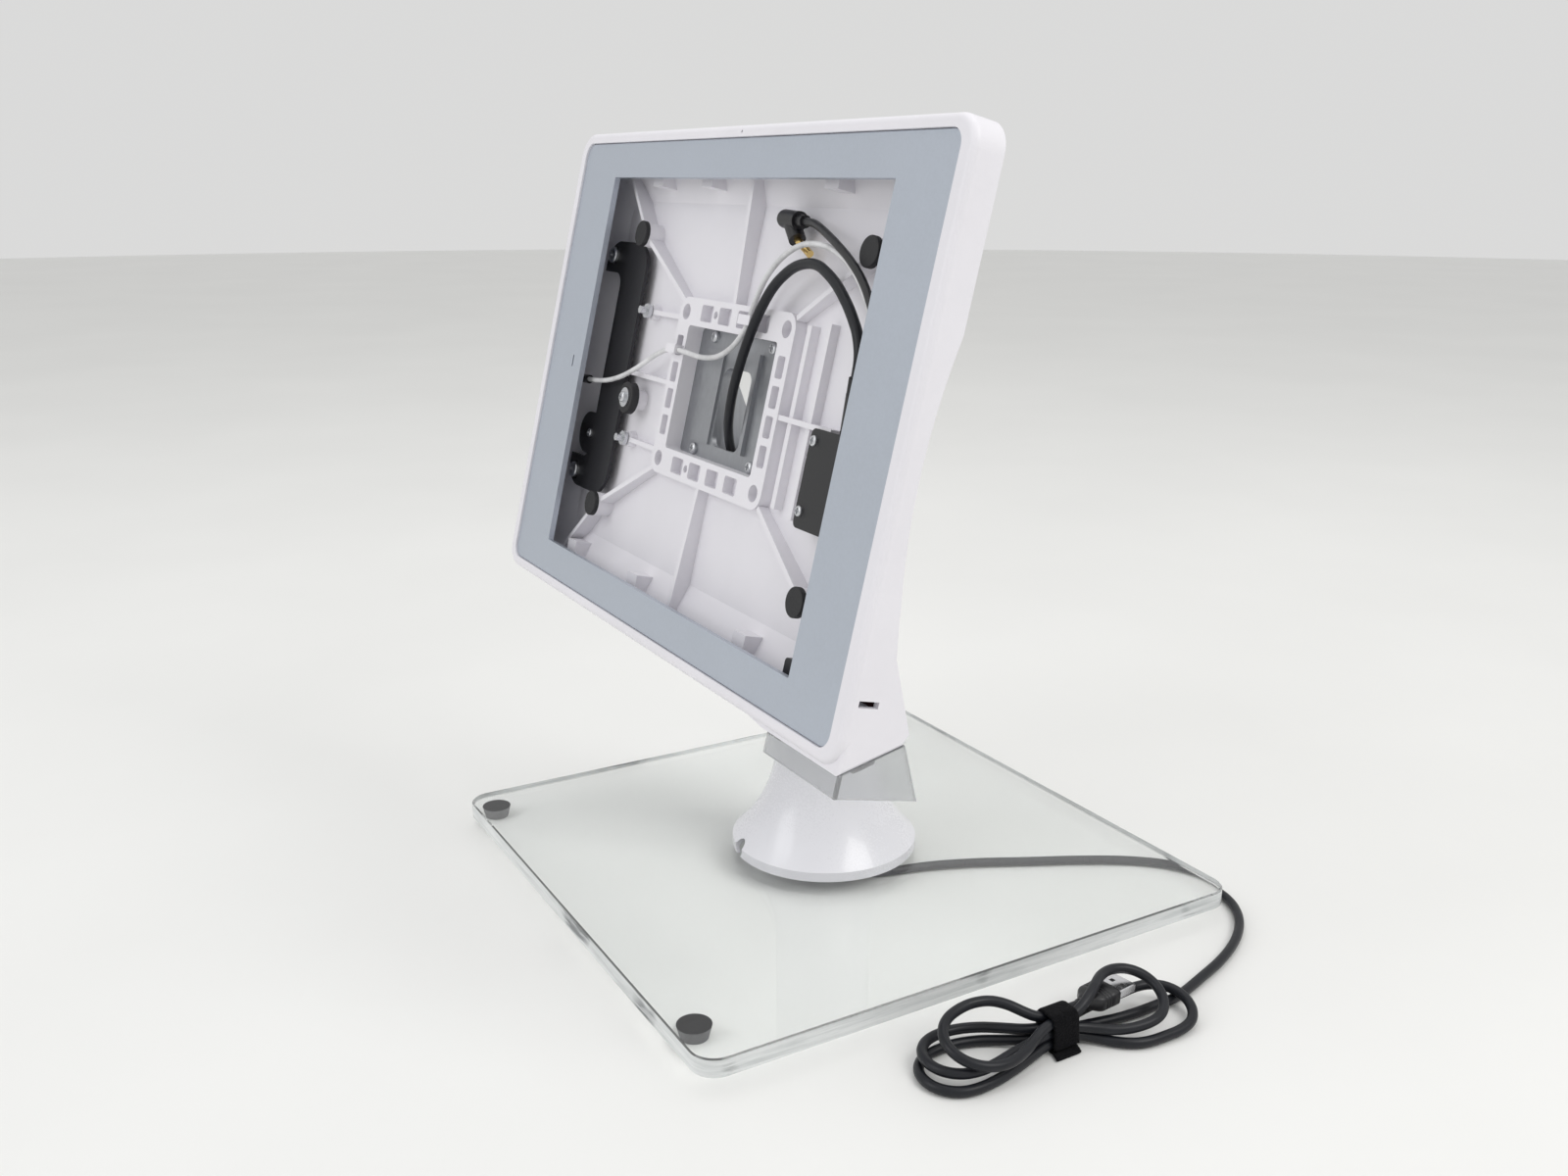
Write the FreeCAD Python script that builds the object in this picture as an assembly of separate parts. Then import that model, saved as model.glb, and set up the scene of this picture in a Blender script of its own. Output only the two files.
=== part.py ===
"""Tablet kiosk on a clear acrylic base: one STEP file per piece, in millimetres.

World frame: +Z up, the front faces -Y, +X is the viewer's right.  The origin is
on the table, under the middle of the base plate.

The head is built upright in its own frame: X across, Y back from the front face
of the panel (depth), Z up from the middle of the panel.  It is then leaned back.
"""
import FreeCAD, Part
import math
import os

V = FreeCAD.Vector

# ------------------------------------------------------------------ stand sizes
PLATE_SIZE = 304.8            # square acrylic plate
PLATE_THICK = 9.5
PLATE_CORNER = 12.0
PLATE_BREAK = 0.7             # polished edge break
PLATE_HOLE = 26.0             # cable hole in the middle
FOOT_HEIGHT = 6.0
FOOT_TOP_D = 16.0
FOOT_LOW_D = 13.0
FOOT_INSET = 13.5             # foot centre to the plate edge
FRONT_RIGHT_FOOT_X = 118.0    # this foot sits further in than the other two
PEDESTAL_BASE_R = 50.0
PEDESTAL_EDGE = 5.0
PEDESTAL_COLUMN_R = 26.0
PEDESTAL_FLARE = 60.0         # height where the flare ends and the column starts
PEDESTAL_HEIGHT = 95.0
PEDESTAL_WALL = 3.0
NOTCH_WIDTH = 9.0             # cable notch in the edge of the pedestal
NOTCH_HEIGHT = 4.0
NOTCH_ANGLE = 262.0           # degrees round from +X
DISC_D = 84.0
DISC_THICK = 6.0
DISC_SCREW_CIRCLE = 62.0
DISC_SCREW_D = 5.0
DISC_SCREW_HEAD = 9.6
DISC_SCREW_LENGTH = 13.0
TUBE_D = 30.0                 # steel column tube inside the pedestal
TUBE_BORE = 24.0
TUBE_STUB = 22.0              # how far the tube stands up into the neck
BUSH_WALL = 2.0
BUSH_FLANGE = 1.5
GROMMET_D = 14.0

# ------------------------------------------------------------------- neck sizes
PIVOT_Y = -30.0               # tilt axis, in front of the column's middle
NECK_RISE = 109.5             # tilt axis above the foot of the neck
KNUCKLE_R = 15.0
KNUCKLE_HALF = 21.0
PIN_D = 8.0
EAR_THICK = 3.0
EAR_R = 13.0
WASHER_THICK = 1.6
NUT_FLATS = 13.0
NUT_THICK = 6.0
NECK_WALL = 4.0
NECK_SHOULDER = 12.0          # height of the inner shoulder under the ring
RING_THICK = 3.0
SEAM_R = 22.0                 # the lead is parted on this radius round the tilt axis
SEAM_GAP = 0.15

# ------------------------------------------------------------------- head sizes
REST_TILT = 13.7              # degrees that the head leans back at rest
HEAD_AHEAD = 48.8             # middle of the panel's face, in front of the tilt axis
HEAD_ABOVE = 46.1             # and above it
HEAD_W = 364.4
HEAD_H = 249.2
HEAD_CORNER = 13.0
HEAD_SIDE_DEPTH = 13.5
HEAD_BACK_DEPTH = 24.0
BACK_SLOPE_SIDE = 32.2        # slanted part of the back, at each side
BACK_SLOPE_TOP = 29.6         # and at the top and bottom
RIM_PROUD = 1.0
RIM_ROUND = 3.0
WALL = 3.2
FLOOR = 2.5
RIM_SIDE = 7.7                # rim beside the panel
RIM_TOP = 5.7
PANEL_THICK = 3.0
PANEL_CORNER = 7.0
PANEL_GAP = 0.3               # panel to rim, all round
LEDGE = 4.5                   # width of the ledge that the panel lies on
LEDGE_THICK = 2.0
OPENING_W = 267.0
OPENING_H = 201.0
OPENING_SHIFT = 2.9           # the opening sits right of the middle
TABLET_DEPTH = 10.0           # the tablet's back lies at this depth
TAB_REACH = 26.1              # rest pads reach this far in from the outside
TAB_WIDTH = 11.0

# ladder frame in the middle of the back, on a 100 x 75 hole pattern
MOUNT_W = 100.0
MOUNT_H = 75.0
LADDER_W = 115.0
LADDER_H = 90.0
LADDER_FRONT = 15.5
WINDOW_W = 89.0
WINDOW_H = 62.4
MOUNT_SCREW_D = 4.0
RIB = 2.4

BUMPER_X = 110.2              # rubber bumpers round the middle of the opening
BUMPER_Z = 73.6
BUMPER_D = 13.5
BUMPER_THICK = 2.5
STUD_X = -94.0
STUD_Z = 34.2
STUD_D = 4.0
STUD_HEAD_D = 7.6
STUD_HEAD = 3.0
CUSHION_X = -92.5
CUSHION_Z = -12.6
CUSHION_D = 17.0

LATCH_FRONT = 15.0            # black C-shaped bracket, depth of its face
LATCH_THICK = 2.0
LATCH_RIGHT = -106.0
LATCH_WEB = 29.0
LATCH_LEFT = -158.0
LATCH_HALF = 69.0
LATCH_ARM = 17.0
LATCH_CORNER = 15.0
LATCH_SCREW_X = -148.6
LATCH_SCREW_Z = 61.0
LATCH_PIN_X = -137.4          # small screw in the bracket's lobe
LATCH_PIN_Z = -38.0
COVER_LEFT = 93.5             # black connector cover on the right
COVER_RIGHT = 150.0
COVER_TOP = -1.0
COVER_LOW = -44.0
COVER_FRONT = 12.0
COVER_THICK = 1.5
COVER_SCREW_X = 97.2
COVER_SCREW_Z = (-6.3, -36.7)

# scan chin, bottom right, and the clear hood under it
CHIN_WIDTH = 60.2
CHIN_DEEP = 31.5
HOOD_THICK = 3.0
HOOD_WIDTH = 55.2
HOOD_DROP = 10.6              # hood's lower edge under the bottom wall
HOOD_TAB = 2.5
HOOD_BACK_LOW = 42.0
HOOD_BACK_TOP = 30.0
SLOT_LENGTH = 9.4
MODULE_FRONT = 7.5            # optics box behind the panel
MODULE_BACK = 11.5
MODULE_W = 37.0
MODULE_H = 20.0
MODULE_IN = 43.8              # its middle, in from the right side
MODULE_UP = 19.1              # and up from the bottom
WINDOW_IN = 27.2              # middle of the window in the chin's underside
WINDOW_LONG = 34.0
SLOT_UP = 26.4                # slot in the right wall, up from the bottom
SLOT_HEIGHT = 2.8

# steel bracket behind the head
BRACKET_PLATE = 2.5
CLEVIS_THICK = 3.0
CABLE_SLOT_W = 27.0
CABLE_SLOT_TOP = 14.8
CABLE_SLOT_LOW = -24.0
BRACKET_SCREW_X = 29.0
BRACKET_SCREW_Z = 28.0

# ------------------------------------------------------------------ cable sizes
USB_D = 4.7
AUDIO_D = 3.6
WHITE_D = 2.6
CLEAR = 0.3                   # gap between touching curved pieces

PLATE_LOW = FOOT_HEIGHT
PLATE_TOP = FOOT_HEIGHT + PLATE_THICK
DISC_TOP = PLATE_TOP + DISC_THICK
PEDESTAL_TOP = PLATE_TOP + PEDESTAL_HEIGHT
NECK_LOW = PEDESTAL_TOP + BUSH_FLANGE
PIVOT_Z = NECK_LOW + NECK_RISE
HEAD_Y = PIVOT_Y - HEAD_AHEAD
HEAD_Z = PIVOT_Z + HEAD_ABOVE
PANEL_W = HEAD_W - 2 * (RIM_SIDE + PANEL_GAP)
PANEL_H = HEAD_H - 2 * (RIM_TOP + PANEL_GAP)
BACK_W = HEAD_W - 2 * BACK_SLOPE_SIDE
BACK_H = HEAD_H - 2 * BACK_SLOPE_TOP
RIGHT = HEAD_W / 2            # outer face of the right side wall
LOW = -HEAD_H / 2             # outer face of the bottom wall
CHIN_LEFT = RIGHT - CHIN_WIDTH
HOOD_LEFT = RIGHT - HOOD_WIDTH
HOOD_LOW = LOW - HOOD_DROP
FLOOR_IN = HEAD_BACK_DEPTH - FLOOR
LEDGE_TOP = PANEL_THICK + PANEL_GAP / 2
CAVITY_TOP = LEDGE_TOP + LEDGE_THICK
MIDDLE = OPENING_SHIFT        # inner parts are laid out round the opening
BRACKET_BACK = HEAD_BACK_DEPTH + BRACKET_PLATE


# ------------------------------------------------------------------ small tools
def box(x0, y0, z0, x1, y1, z1):
    return Part.makeBox(x1 - x0, y1 - y0, z1 - z0, V(x0, y0, z0))


def rod(radius, start, end):
    run = V(*end) - V(*start)
    return Part.makeCylinder(radius, run.Length, V(*start), run)


def along(radius, x, z, d0, d1):
    """A cylinder along the head's depth."""
    return rod(radius, (x, d0, z), (x, d1, z))


def fuse(shapes):
    joined = shapes[0].multiFuse(shapes[1:]) if len(shapes) > 1 else shapes[0]
    return joined.removeSplitter()


def prism(points, direction):
    wire = Part.makePolygon([V(*p) for p in points] + [V(*points[0])])
    return Part.Face(wire).extrude(V(*direction))


def rounded_wire(w, h, r, y, cx=0.0, cz=0.0):
    """A rectangle with round corners in the head's X-Z plane."""
    x0, x1 = cx - w / 2, cx + w / 2
    z0, z1 = cz - h / 2, cz + h / 2
    corners = ((x1 - r, z1 - r, 0), (x0 + r, z1 - r, 90), (x0 + r, z0 + r, 180), (x1 - r, z0 + r, 270))
    edges = []
    ends = []
    for x, z, start in corners:
        points = []
        for turn in (0, 45, 90):
            angle = math.radians(start + turn)
            points.append(V(x + r * math.cos(angle), y, z + r * math.sin(angle)))
        edges.append(Part.Arc(*points).toShape())
        ends.append((points[0], points[2]))
    for i in range(4):
        edges.append(Part.LineSegment(ends[i][1], ends[(i + 1) % 4][0]).toShape())
    return Part.Wire(Part.__sortEdges__(edges))


def slab(w, h, r, d0, d1, cx=0.0, cz=0.0):
    return Part.Face(rounded_wire(w, h, r, d0, cx, cz)).extrude(V(0, d1 - d0, 0))


def edges_at_depth(shape, depth):
    found = []
    for edge in shape.Edges:
        bounds = edge.BoundBox
        if abs(bounds.YMin - depth) < 1e-4 and abs(bounds.YMax - depth) < 1e-4:
            found.append(edge)
    return found


def edges_at_height(shape, height):
    found = []
    for edge in shape.Edges:
        bounds = edge.BoundBox
        if abs(bounds.ZMin - height) < 1e-4 and abs(bounds.ZMax - height) < 1e-4:
            found.append(edge)
    return found


def route_wire(points, name, diameter):
    """Straight runs joined by tangent arcs; prints the arc radii in diameters."""
    pts = [V(*p) for p in points]
    edges = []
    radii = []
    start = pts[0]
    for before, corner, after in zip(pts, pts[1:], pts[2:]):
        back = before - corner
        ahead = after - corner
        turn = math.pi - back.getAngle(ahead)
        reach = 0.45 * min(back.Length, ahead.Length)
        radii.append(reach / math.tan(turn / 2) / diameter)
        back.normalize()
        ahead.normalize()
        first = corner + back * reach
        last = corner + ahead * reach
        inward = back + ahead
        inward.normalize()
        radius = reach / math.tan(turn / 2)
        centre_reach = math.hypot(radius, reach)
        middle = corner + inward * (centre_reach - radius)
        edges.append(Part.LineSegment(start, first).toShape())
        edges.append(Part.Arc(first, middle, last).toShape())
        start = last
    edges.append(Part.LineSegment(start, pts[-1]).toShape())
    print(name, "radii in diameters:", " ".join("%.1f" % r for r in radii))
    return Part.Wire(edges)


def cable(points, diameter, name):
    wire = route_wire(points, name, diameter)
    run = V(*points[1]) - V(*points[0])
    ring = Part.Wire([Part.makeCircle(diameter / 2, V(*points[0]), run)])
    tube = wire.makePipeShell([ring], True, False)
    expected = math.pi * diameter ** 2 / 4 * wire.Length
    print(name, "length %.1f mm, volume / section x length %.4f" % (wire.Length, tube.Volume / expected))
    return tube


def to_world(shape):
    """Lean a piece of the head back and put it in place."""
    placed = shape.copy()
    placed.rotate(V(0, 0, 0), V(1, 0, 0), -REST_TILT)
    placed.translate(V(0, HEAD_Y, HEAD_Z))
    return placed


def head_point(x, d, z):
    """World place of a point in the head's frame."""
    lean = math.radians(REST_TILT)
    y = d * math.cos(lean) + z * math.sin(lean)
    up = z * math.cos(lean) - d * math.sin(lean)
    return (x, HEAD_Y + y, HEAD_Z + up)


def pivot_in_head():
    """Depth and height of the tilt axis in the head's frame."""
    lean = math.radians(REST_TILT)
    dy = PIVOT_Y - HEAD_Y
    dz = PIVOT_Z - HEAD_Z
    return (dy * math.cos(lean) - dz * math.sin(lean), dy * math.sin(lean) + dz * math.cos(lean))


def pan_screw(x, z, seat, head_d, head, shank_d, length, direction=1):
    """A pan-head screw along the depth; direction 1 points the shank back."""
    front = seat - direction * head
    dome = along(head_d / 2, x, z, seat, front)
    rim = edges_at_depth(dome, front)
    dome = dome.makeFillet(head * 0.55, rim)
    cross = head_d * 0.28
    for w, h in ((cross * 2, 0.9), (0.9, cross * 2)):
        y0, y1 = sorted((front, front + direction * head * 0.5))
        dome = dome.cut(box(x - w / 2, y0, z - h / 2, x + w / 2, y1, z + h / 2))
    shank = along(shank_d / 2, x, z, seat, seat + direction * length)
    return fuse([dome, shank])


# ------------------------------------------------------------------------ stand
def base_plate():
    half = PLATE_SIZE / 2
    plate = box(-half, -half, PLATE_LOW, half, half, PLATE_TOP)
    upright = [e for e in plate.Edges if e.BoundBox.ZLength > PLATE_THICK / 2]
    plate = plate.makeFillet(PLATE_CORNER, upright)
    rims = edges_at_height(plate, PLATE_TOP) + edges_at_height(plate, PLATE_LOW)
    plate = plate.makeChamfer(PLATE_BREAK, rims)
    plate = plate.cut(rod(PLATE_HOLE / 2, (0, 0, PLATE_LOW - 1), (0, 0, PLATE_TOP + 1)))
    for x, y in disc_screw_places():
        plate = plate.cut(rod(DISC_SCREW_D / 2 + 0.25, (x, y, PLATE_LOW - 1), (x, y, PLATE_TOP + 1)))
        sink = Part.makeCone(DISC_SCREW_HEAD / 2 + 0.3, DISC_SCREW_D / 2 + 0.25,
                             (DISC_SCREW_HEAD - DISC_SCREW_D) / 2 + 0.3, V(x, y, PLATE_LOW))
        plate = plate.cut(sink)
    return plate


def disc_screw_places():
    for i in range(3):
        angle = math.radians(90 + 120 * i)
        yield (DISC_SCREW_CIRCLE / 2 * math.cos(angle), DISC_SCREW_CIRCLE / 2 * math.sin(angle))


def foot_places():
    edge = PLATE_SIZE / 2 - FOOT_INSET
    return ((-edge, -edge), (FRONT_RIGHT_FOOT_X, -edge), (-edge, edge))


def feet():
    pads = []
    for x, y in foot_places():
        pads.append(Part.makeCone(FOOT_LOW_D / 2, FOOT_TOP_D / 2, FOOT_HEIGHT, V(x, y, 0)))
    return Part.makeCompound(pads)


def disc_screws():
    screws = []
    taper = (DISC_SCREW_HEAD - DISC_SCREW_D) / 2
    for x, y in disc_screw_places():
        head = Part.makeCone(DISC_SCREW_HEAD / 2, DISC_SCREW_D / 2, taper, V(x, y, PLATE_LOW))
        shank = rod(DISC_SCREW_D / 2, (x, y, PLATE_LOW + taper), (x, y, PLATE_LOW + DISC_SCREW_LENGTH))
        socket = rod(1.5, (x, y, PLATE_LOW - 1), (x, y, PLATE_LOW + 1.6))
        screws.append(fuse([head, shank]).cut(socket))
    return Part.makeCompound(screws)


def base_disc():
    disc = rod(DISC_D / 2, (0, 0, PLATE_TOP), (0, 0, DISC_TOP))
    disc = disc.cut(rod(GROMMET_D / 2, (0, 0, PLATE_TOP - 1), (0, 0, DISC_TOP + 1)))
    for x, y in disc_screw_places():
        disc = disc.cut(rod(DISC_SCREW_D / 2 + 0.05, (x, y, PLATE_TOP - 1), (x, y, DISC_TOP + 1)))
    return disc


def disc_grommet():
    ring = rod(GROMMET_D / 2, (0, 0, PLATE_TOP), (0, 0, DISC_TOP))
    return ring.cut(rod(USB_D / 2 + 0.1, (0, 0, PLATE_TOP - 1), (0, 0, DISC_TOP + 1)))


def column_tube():
    top = PEDESTAL_TOP + TUBE_STUB
    tube = rod(TUBE_D / 2, (0, 0, DISC_TOP), (0, 0, top))
    return tube.cut(rod(TUBE_BORE / 2, (0, 0, DISC_TOP - 1), (0, 0, top + 1)))


def flare_edges(grow):
    """Profile of the pedestal, offset inwards by grow, from the edge to the top."""
    rise = PEDESTAL_FLARE - PEDESTAL_EDGE
    spread = PEDESTAL_BASE_R - PEDESTAL_COLUMN_R
    radius = (rise ** 2 + spread ** 2) / (2 * spread)
    cx = PEDESTAL_COLUMN_R + radius
    cz = PLATE_TOP + PEDESTAL_FLARE
    swing = math.asin(rise / radius)
    reach = radius + grow
    arc_points = []
    for part in (1.0, 0.5, 0.0):
        angle = math.pi + swing * part
        arc_points.append(V(cx + reach * math.cos(angle), 0, cz + reach * math.sin(angle)))
    return arc_points


def trumpet(grow, low, top):
    first, middle, last = flare_edges(grow)
    foot = V(first.x, 0, low)
    head = V(last.x, 0, top)
    edges = [Part.LineSegment(V(0, 0, low), foot).toShape(),
             Part.LineSegment(foot, first).toShape(),
             Part.Arc(first, middle, last).toShape(),
             Part.LineSegment(last, head).toShape(),
             Part.LineSegment(head, V(0, 0, top)).toShape(),
             Part.LineSegment(V(0, 0, top), V(0, 0, low)).toShape()]
    return Part.Face(Part.Wire(edges)).revolve(V(0, 0, 0), V(0, 0, 1), 360)


def pedestal():
    shell = trumpet(0, PLATE_TOP, PEDESTAL_TOP)
    inside = trumpet(PEDESTAL_WALL, PLATE_TOP - 1, PEDESTAL_TOP - PEDESTAL_WALL)
    shell = shell.cut(inside)
    shell = shell.cut(rod(TUBE_D / 2 + 0.1, (0, 0, PLATE_TOP), (0, 0, PEDESTAL_TOP + 1)))
    angle = math.radians(NOTCH_ANGLE)
    arch = NOTCH_WIDTH / 2
    centre = PLATE_TOP + NOTCH_HEIGHT
    reach = PEDESTAL_BASE_R + 5
    out = (reach * math.cos(angle), reach * math.sin(angle), centre)
    notch = rod(arch, (out[0] * 0.6, out[1] * 0.6, centre), out)
    below = rod(arch, (out[0] * 0.6, out[1] * 0.6, PLATE_TOP - arch), (out[0], out[1], PLATE_TOP - arch))
    return shell.cut(notch).cut(below)


def swivel_bush():
    top = NECK_LOW + NECK_SHOULDER - 0.5
    flange = rod(PEDESTAL_COLUMN_R - 0.6, (0, 0, PEDESTAL_TOP), (0, 0, NECK_LOW))
    sleeve = rod(TUBE_D / 2 + BUSH_WALL, (0, 0, PEDESTAL_TOP), (0, 0, top))
    return fuse([flange, sleeve]).cut(rod(TUBE_D / 2 + 0.05, (0, 0, PEDESTAL_TOP - 1), (0, 0, top + 1)))


def swivel_ring():
    """Retaining ring pressed on the tube, above the neck's inner shoulder."""
    low = NECK_LOW + NECK_SHOULDER + 0.1
    ring = rod(PEDESTAL_COLUMN_R - NECK_WALL - 1, (0, 0, low), (0, 0, low + RING_THICK))
    return ring.cut(rod(TUBE_D / 2 + 0.02, (0, 0, low - 1), (0, 0, low + RING_THICK + 1)))


# ------------------------------------------------------------------------- neck
def neck_section(y, z, radius, lean):
    angle = math.radians(lean)
    axis = V(0, -math.sin(angle), math.cos(angle))
    return Part.Wire([Part.makeCircle(radius, V(0, y, z), axis)])


def neck_loft(shrink, top_shift):
    rise = PIVOT_Z - NECK_LOW
    sections = [neck_section(0, NECK_LOW + 0.30 * rise, PEDESTAL_COLUMN_R - shrink, 0),
                neck_section(PIVOT_Y * 0.28, NECK_LOW + 0.55 * rise, PEDESTAL_COLUMN_R * 0.86 - shrink, 17),
                neck_section(PIVOT_Y * (0.86 - top_shift), NECK_LOW + (0.90 - top_shift) * rise,
                             PEDESTAL_COLUMN_R * 0.68 - shrink, 26)]
    return Part.makeLoft(sections, True, False)


def neck():
    rise = PIVOT_Z - NECK_LOW
    joint = NECK_LOW + 0.30 * rise
    collar = rod(PEDESTAL_COLUMN_R, (0, 0, NECK_LOW), (0, 0, joint))
    knuckle = rod(KNUCKLE_R, (-KNUCKLE_HALF, PIVOT_Y, PIVOT_Z), (KNUCKLE_HALF, PIVOT_Y, PIVOT_Z))
    solid = fuse([collar, neck_loft(0, 0), knuckle])
    bore_r = TUBE_D / 2 + BUSH_WALL + 0.05
    shoulder = NECK_LOW + NECK_SHOULDER
    solid = solid.cut(rod(bore_r, (0, 0, NECK_LOW - 1), (0, 0, shoulder + 1)))
    throat = rod(PEDESTAL_COLUMN_R - NECK_WALL, (0, 0, shoulder), (0, 0, joint))
    solid = solid.cut(throat).cut(neck_loft(NECK_WALL * 2, 0.18))
    solid = solid.cut(rod(PIN_D / 2 + 0.05, (-KNUCKLE_HALF - 1, PIVOT_Y, PIVOT_Z),
                          (KNUCKLE_HALF + 1, PIVOT_Y, PIVOT_Z)))
    for part in neck_lead_cuts():
        solid = solid.cut(part)
    return solid


# route of the lead from the seam to the column, as (y, z) from the tilt axis
NECK_LEAD = ((-23.2, 9.2), (-15.4, -12.0), (-2.0, -38.0), (13.0, -64.0), (25.0, -82.0))


def neck_lead_points():
    """Down past the front of the knuckle, in through the neck's front, into the tube."""
    points = [(0.0, PIVOT_Y + y, PIVOT_Z + z) for y, z in NECK_LEAD]
    return points + [(0.0, 0.0, NECK_LOW + 12.5), (0.0, 0.0, NECK_LOW + 0.1)]


def neck_lead_cuts():
    """Groove beside the knuckle and entry hole for the lead, with play round it."""
    points = neck_lead_points()
    groove = USB_D / 2 + 1.0
    entry = USB_D / 2 + 2.6
    return [rod(groove, points[0], points[1]), rod(groove, points[1], points[2]),
            Part.makeSphere(groove, V(*points[1])), rod(entry, points[2], points[3]),
            rod(entry, points[3], points[4])]


def seam_cylinder(radius):
    return rod(radius, (-30, PIVOT_Y, PIVOT_Z), (30, PIVOT_Y, PIVOT_Z))


def lead_in_neck():
    lead = cable(neck_lead_points(), USB_D, "lead_in_neck")
    above = box(-30, PIVOT_Y - 60, PIVOT_Z - 8, 30, PIVOT_Y, PIVOT_Z + 60)
    return lead.cut(above.cut(seam_cylinder(SEAM_R - SEAM_GAP)))


def tilt_pin():
    half = KNUCKLE_HALF + WASHER_THICK + EAR_THICK + NUT_THICK + 1.5
    return rod(PIN_D / 2, (-half, PIVOT_Y, PIVOT_Z), (half, PIVOT_Y, PIVOT_Z))


def friction_washers():
    rings = []
    for side in (-1, 1):
        a = side * (KNUCKLE_HALF + 0.05)
        b = side * (KNUCKLE_HALF + WASHER_THICK - 0.05)
        ring = rod(EAR_R - 1, (a, PIVOT_Y, PIVOT_Z), (b, PIVOT_Y, PIVOT_Z))
        rings.append(ring.cut(rod(PIN_D / 2 + 0.05, (a - side, PIVOT_Y, PIVOT_Z), (b + side, PIVOT_Y, PIVOT_Z))))
    return Part.makeCompound(rings)


def pin_nuts():
    nuts = []
    for side in (-1, 1):
        a = side * (KNUCKLE_HALF + WASHER_THICK + EAR_THICK + 0.05)
        corners = []
        for i in range(6):
            angle = math.radians(60 * i)
            reach = NUT_FLATS / math.sqrt(3)
            corners.append((a, PIVOT_Y + reach * math.cos(angle), PIVOT_Z + reach * math.sin(angle)))
        nut = prism(corners, (side * NUT_THICK, 0, 0))
        hole = rod(PIN_D / 2 + 0.02, (a - side, PIVOT_Y, PIVOT_Z), (a + side * (NUT_THICK + 1), PIVOT_Y, PIVOT_Z))
        nuts.append(nut.cut(hole))
    return Part.makeCompound(nuts)


# ------------------------------------------------------------------ head, shell
def back_taper(w, h, r, front, deep_w, deep_h, back):
    wires = [rounded_wire(w, h, r, front), rounded_wire(deep_w, deep_h, r, back)]
    return Part.makeLoft(wires, True, True)


# side view of the right wall's back edge, top to bottom, as (depth, height)
GRIP_TOP = (HEAD_SIDE_DEPTH, 46.0)
GRIP_THIN = (8.8, 10.0)
GRIP_LOW = (HEAD_SIDE_DEPTH, -60.0)
CHIN_TOP = (HEAD_SIDE_DEPTH, LOW + 62.6)
CHIN_BEND = (16.5, LOW + 46.6)
CHIN_BACK = (CHIN_DEEP, LOW + 15.6)
CHIN_HEEL = (29.6, LOW + 12.0)
CHIN_FRONT = (1.5, LOW - 1.6)
CHIN_ROOM_TOP = (16.0, LOW + 40.6)     # inner face of the chin's back wall
CHIN_ROOM_LOW = (28.1, LOW + 16.6)


def chin_section(x, grow, flat):
    """Closed outline of the chin at one X; flat draws it back into the shell."""
    points = [(CAVITY_TOP, CHIN_TOP[1]), CHIN_TOP, CHIN_BEND, CHIN_BACK, CHIN_HEEL, CHIN_FRONT,
              (CHIN_FRONT[0], LOW + 9.0)]
    outline = []
    for d, z in points:
        depth = min(d, HEAD_SIDE_DEPTH - 0.5) if flat else d
        height = max(z, LOW + 1.0) if flat else z
        outline.append(V(x, depth - grow, height + grow))
    return Part.makePolygon(outline + [outline[0]])


def chin_solid():
    body = Part.Face(chin_section(CHIN_LEFT, 0, False)).extrude(V(RIGHT - CHIN_LEFT, 0, 0))
    ramp = Part.makeLoft([chin_section(CHIN_LEFT - 20, 0, True), chin_section(CHIN_LEFT, 0, False)], True, True)
    corner = [e for e in body.Edges if e.BoundBox.XLength < 1e-4 and abs(e.BoundBox.XMin - RIGHT) < 1e-4
              and e.BoundBox.ZMax < -100]
    body = body.makeFillet(2.0, corner)
    return fuse([body, ramp])


def chin_cavity():
    points = [(CAVITY_TOP, LOW + 52.6), (12.0, LOW + 52.6), CHIN_ROOM_TOP, CHIN_ROOM_LOW,
              (CHIN_HEEL[0] - 3.0, CHIN_HEEL[1] + 2.2), (6.0, LOW + 4.6), (CAVITY_TOP, LOW + 4.6)]
    outline = [V(CHIN_LEFT + WALL, d, z) for d, z in points]
    return Part.Face(Part.makePolygon(outline + [outline[0]])).extrude(V(RIGHT - CHIN_LEFT - 2 * WALL, 0, 0))


def grip_cut():
    """Shallow scallop in the back of the right edge."""
    a, b, c = GRIP_TOP, GRIP_THIN, GRIP_LOW
    bow = Part.Arc(V(RIGHT - 18, a[0], a[1]), V(RIGHT - 18, b[0], b[1]), V(RIGHT - 18, c[0], c[1])).toShape()
    close = [Part.LineSegment(V(RIGHT - 18, c[0], c[1]), V(RIGHT - 18, 40, c[1])).toShape(),
             Part.LineSegment(V(RIGHT - 18, 40, c[1]), V(RIGHT - 18, 40, a[1])).toShape(),
             Part.LineSegment(V(RIGHT - 18, 40, a[1]), V(RIGHT - 18, a[0], a[1])).toShape()]
    return Part.Face(Part.Wire([bow] + close)).extrude(V(30, 0, 0))


def chin_wedge():
    """What lies under the chin's slanted underside, to be cut off the hull."""
    (d0, z0), (d1, z1) = CHIN_FRONT, CHIN_HEEL
    return prism([(CHIN_LEFT, d0, z0), (CHIN_LEFT, d1, z1), (CHIN_LEFT, d1, z0 - 9), (CHIN_LEFT, d0, z0 - 9)],
                 (RIGHT - CHIN_LEFT + 5, 0, 0))


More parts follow.
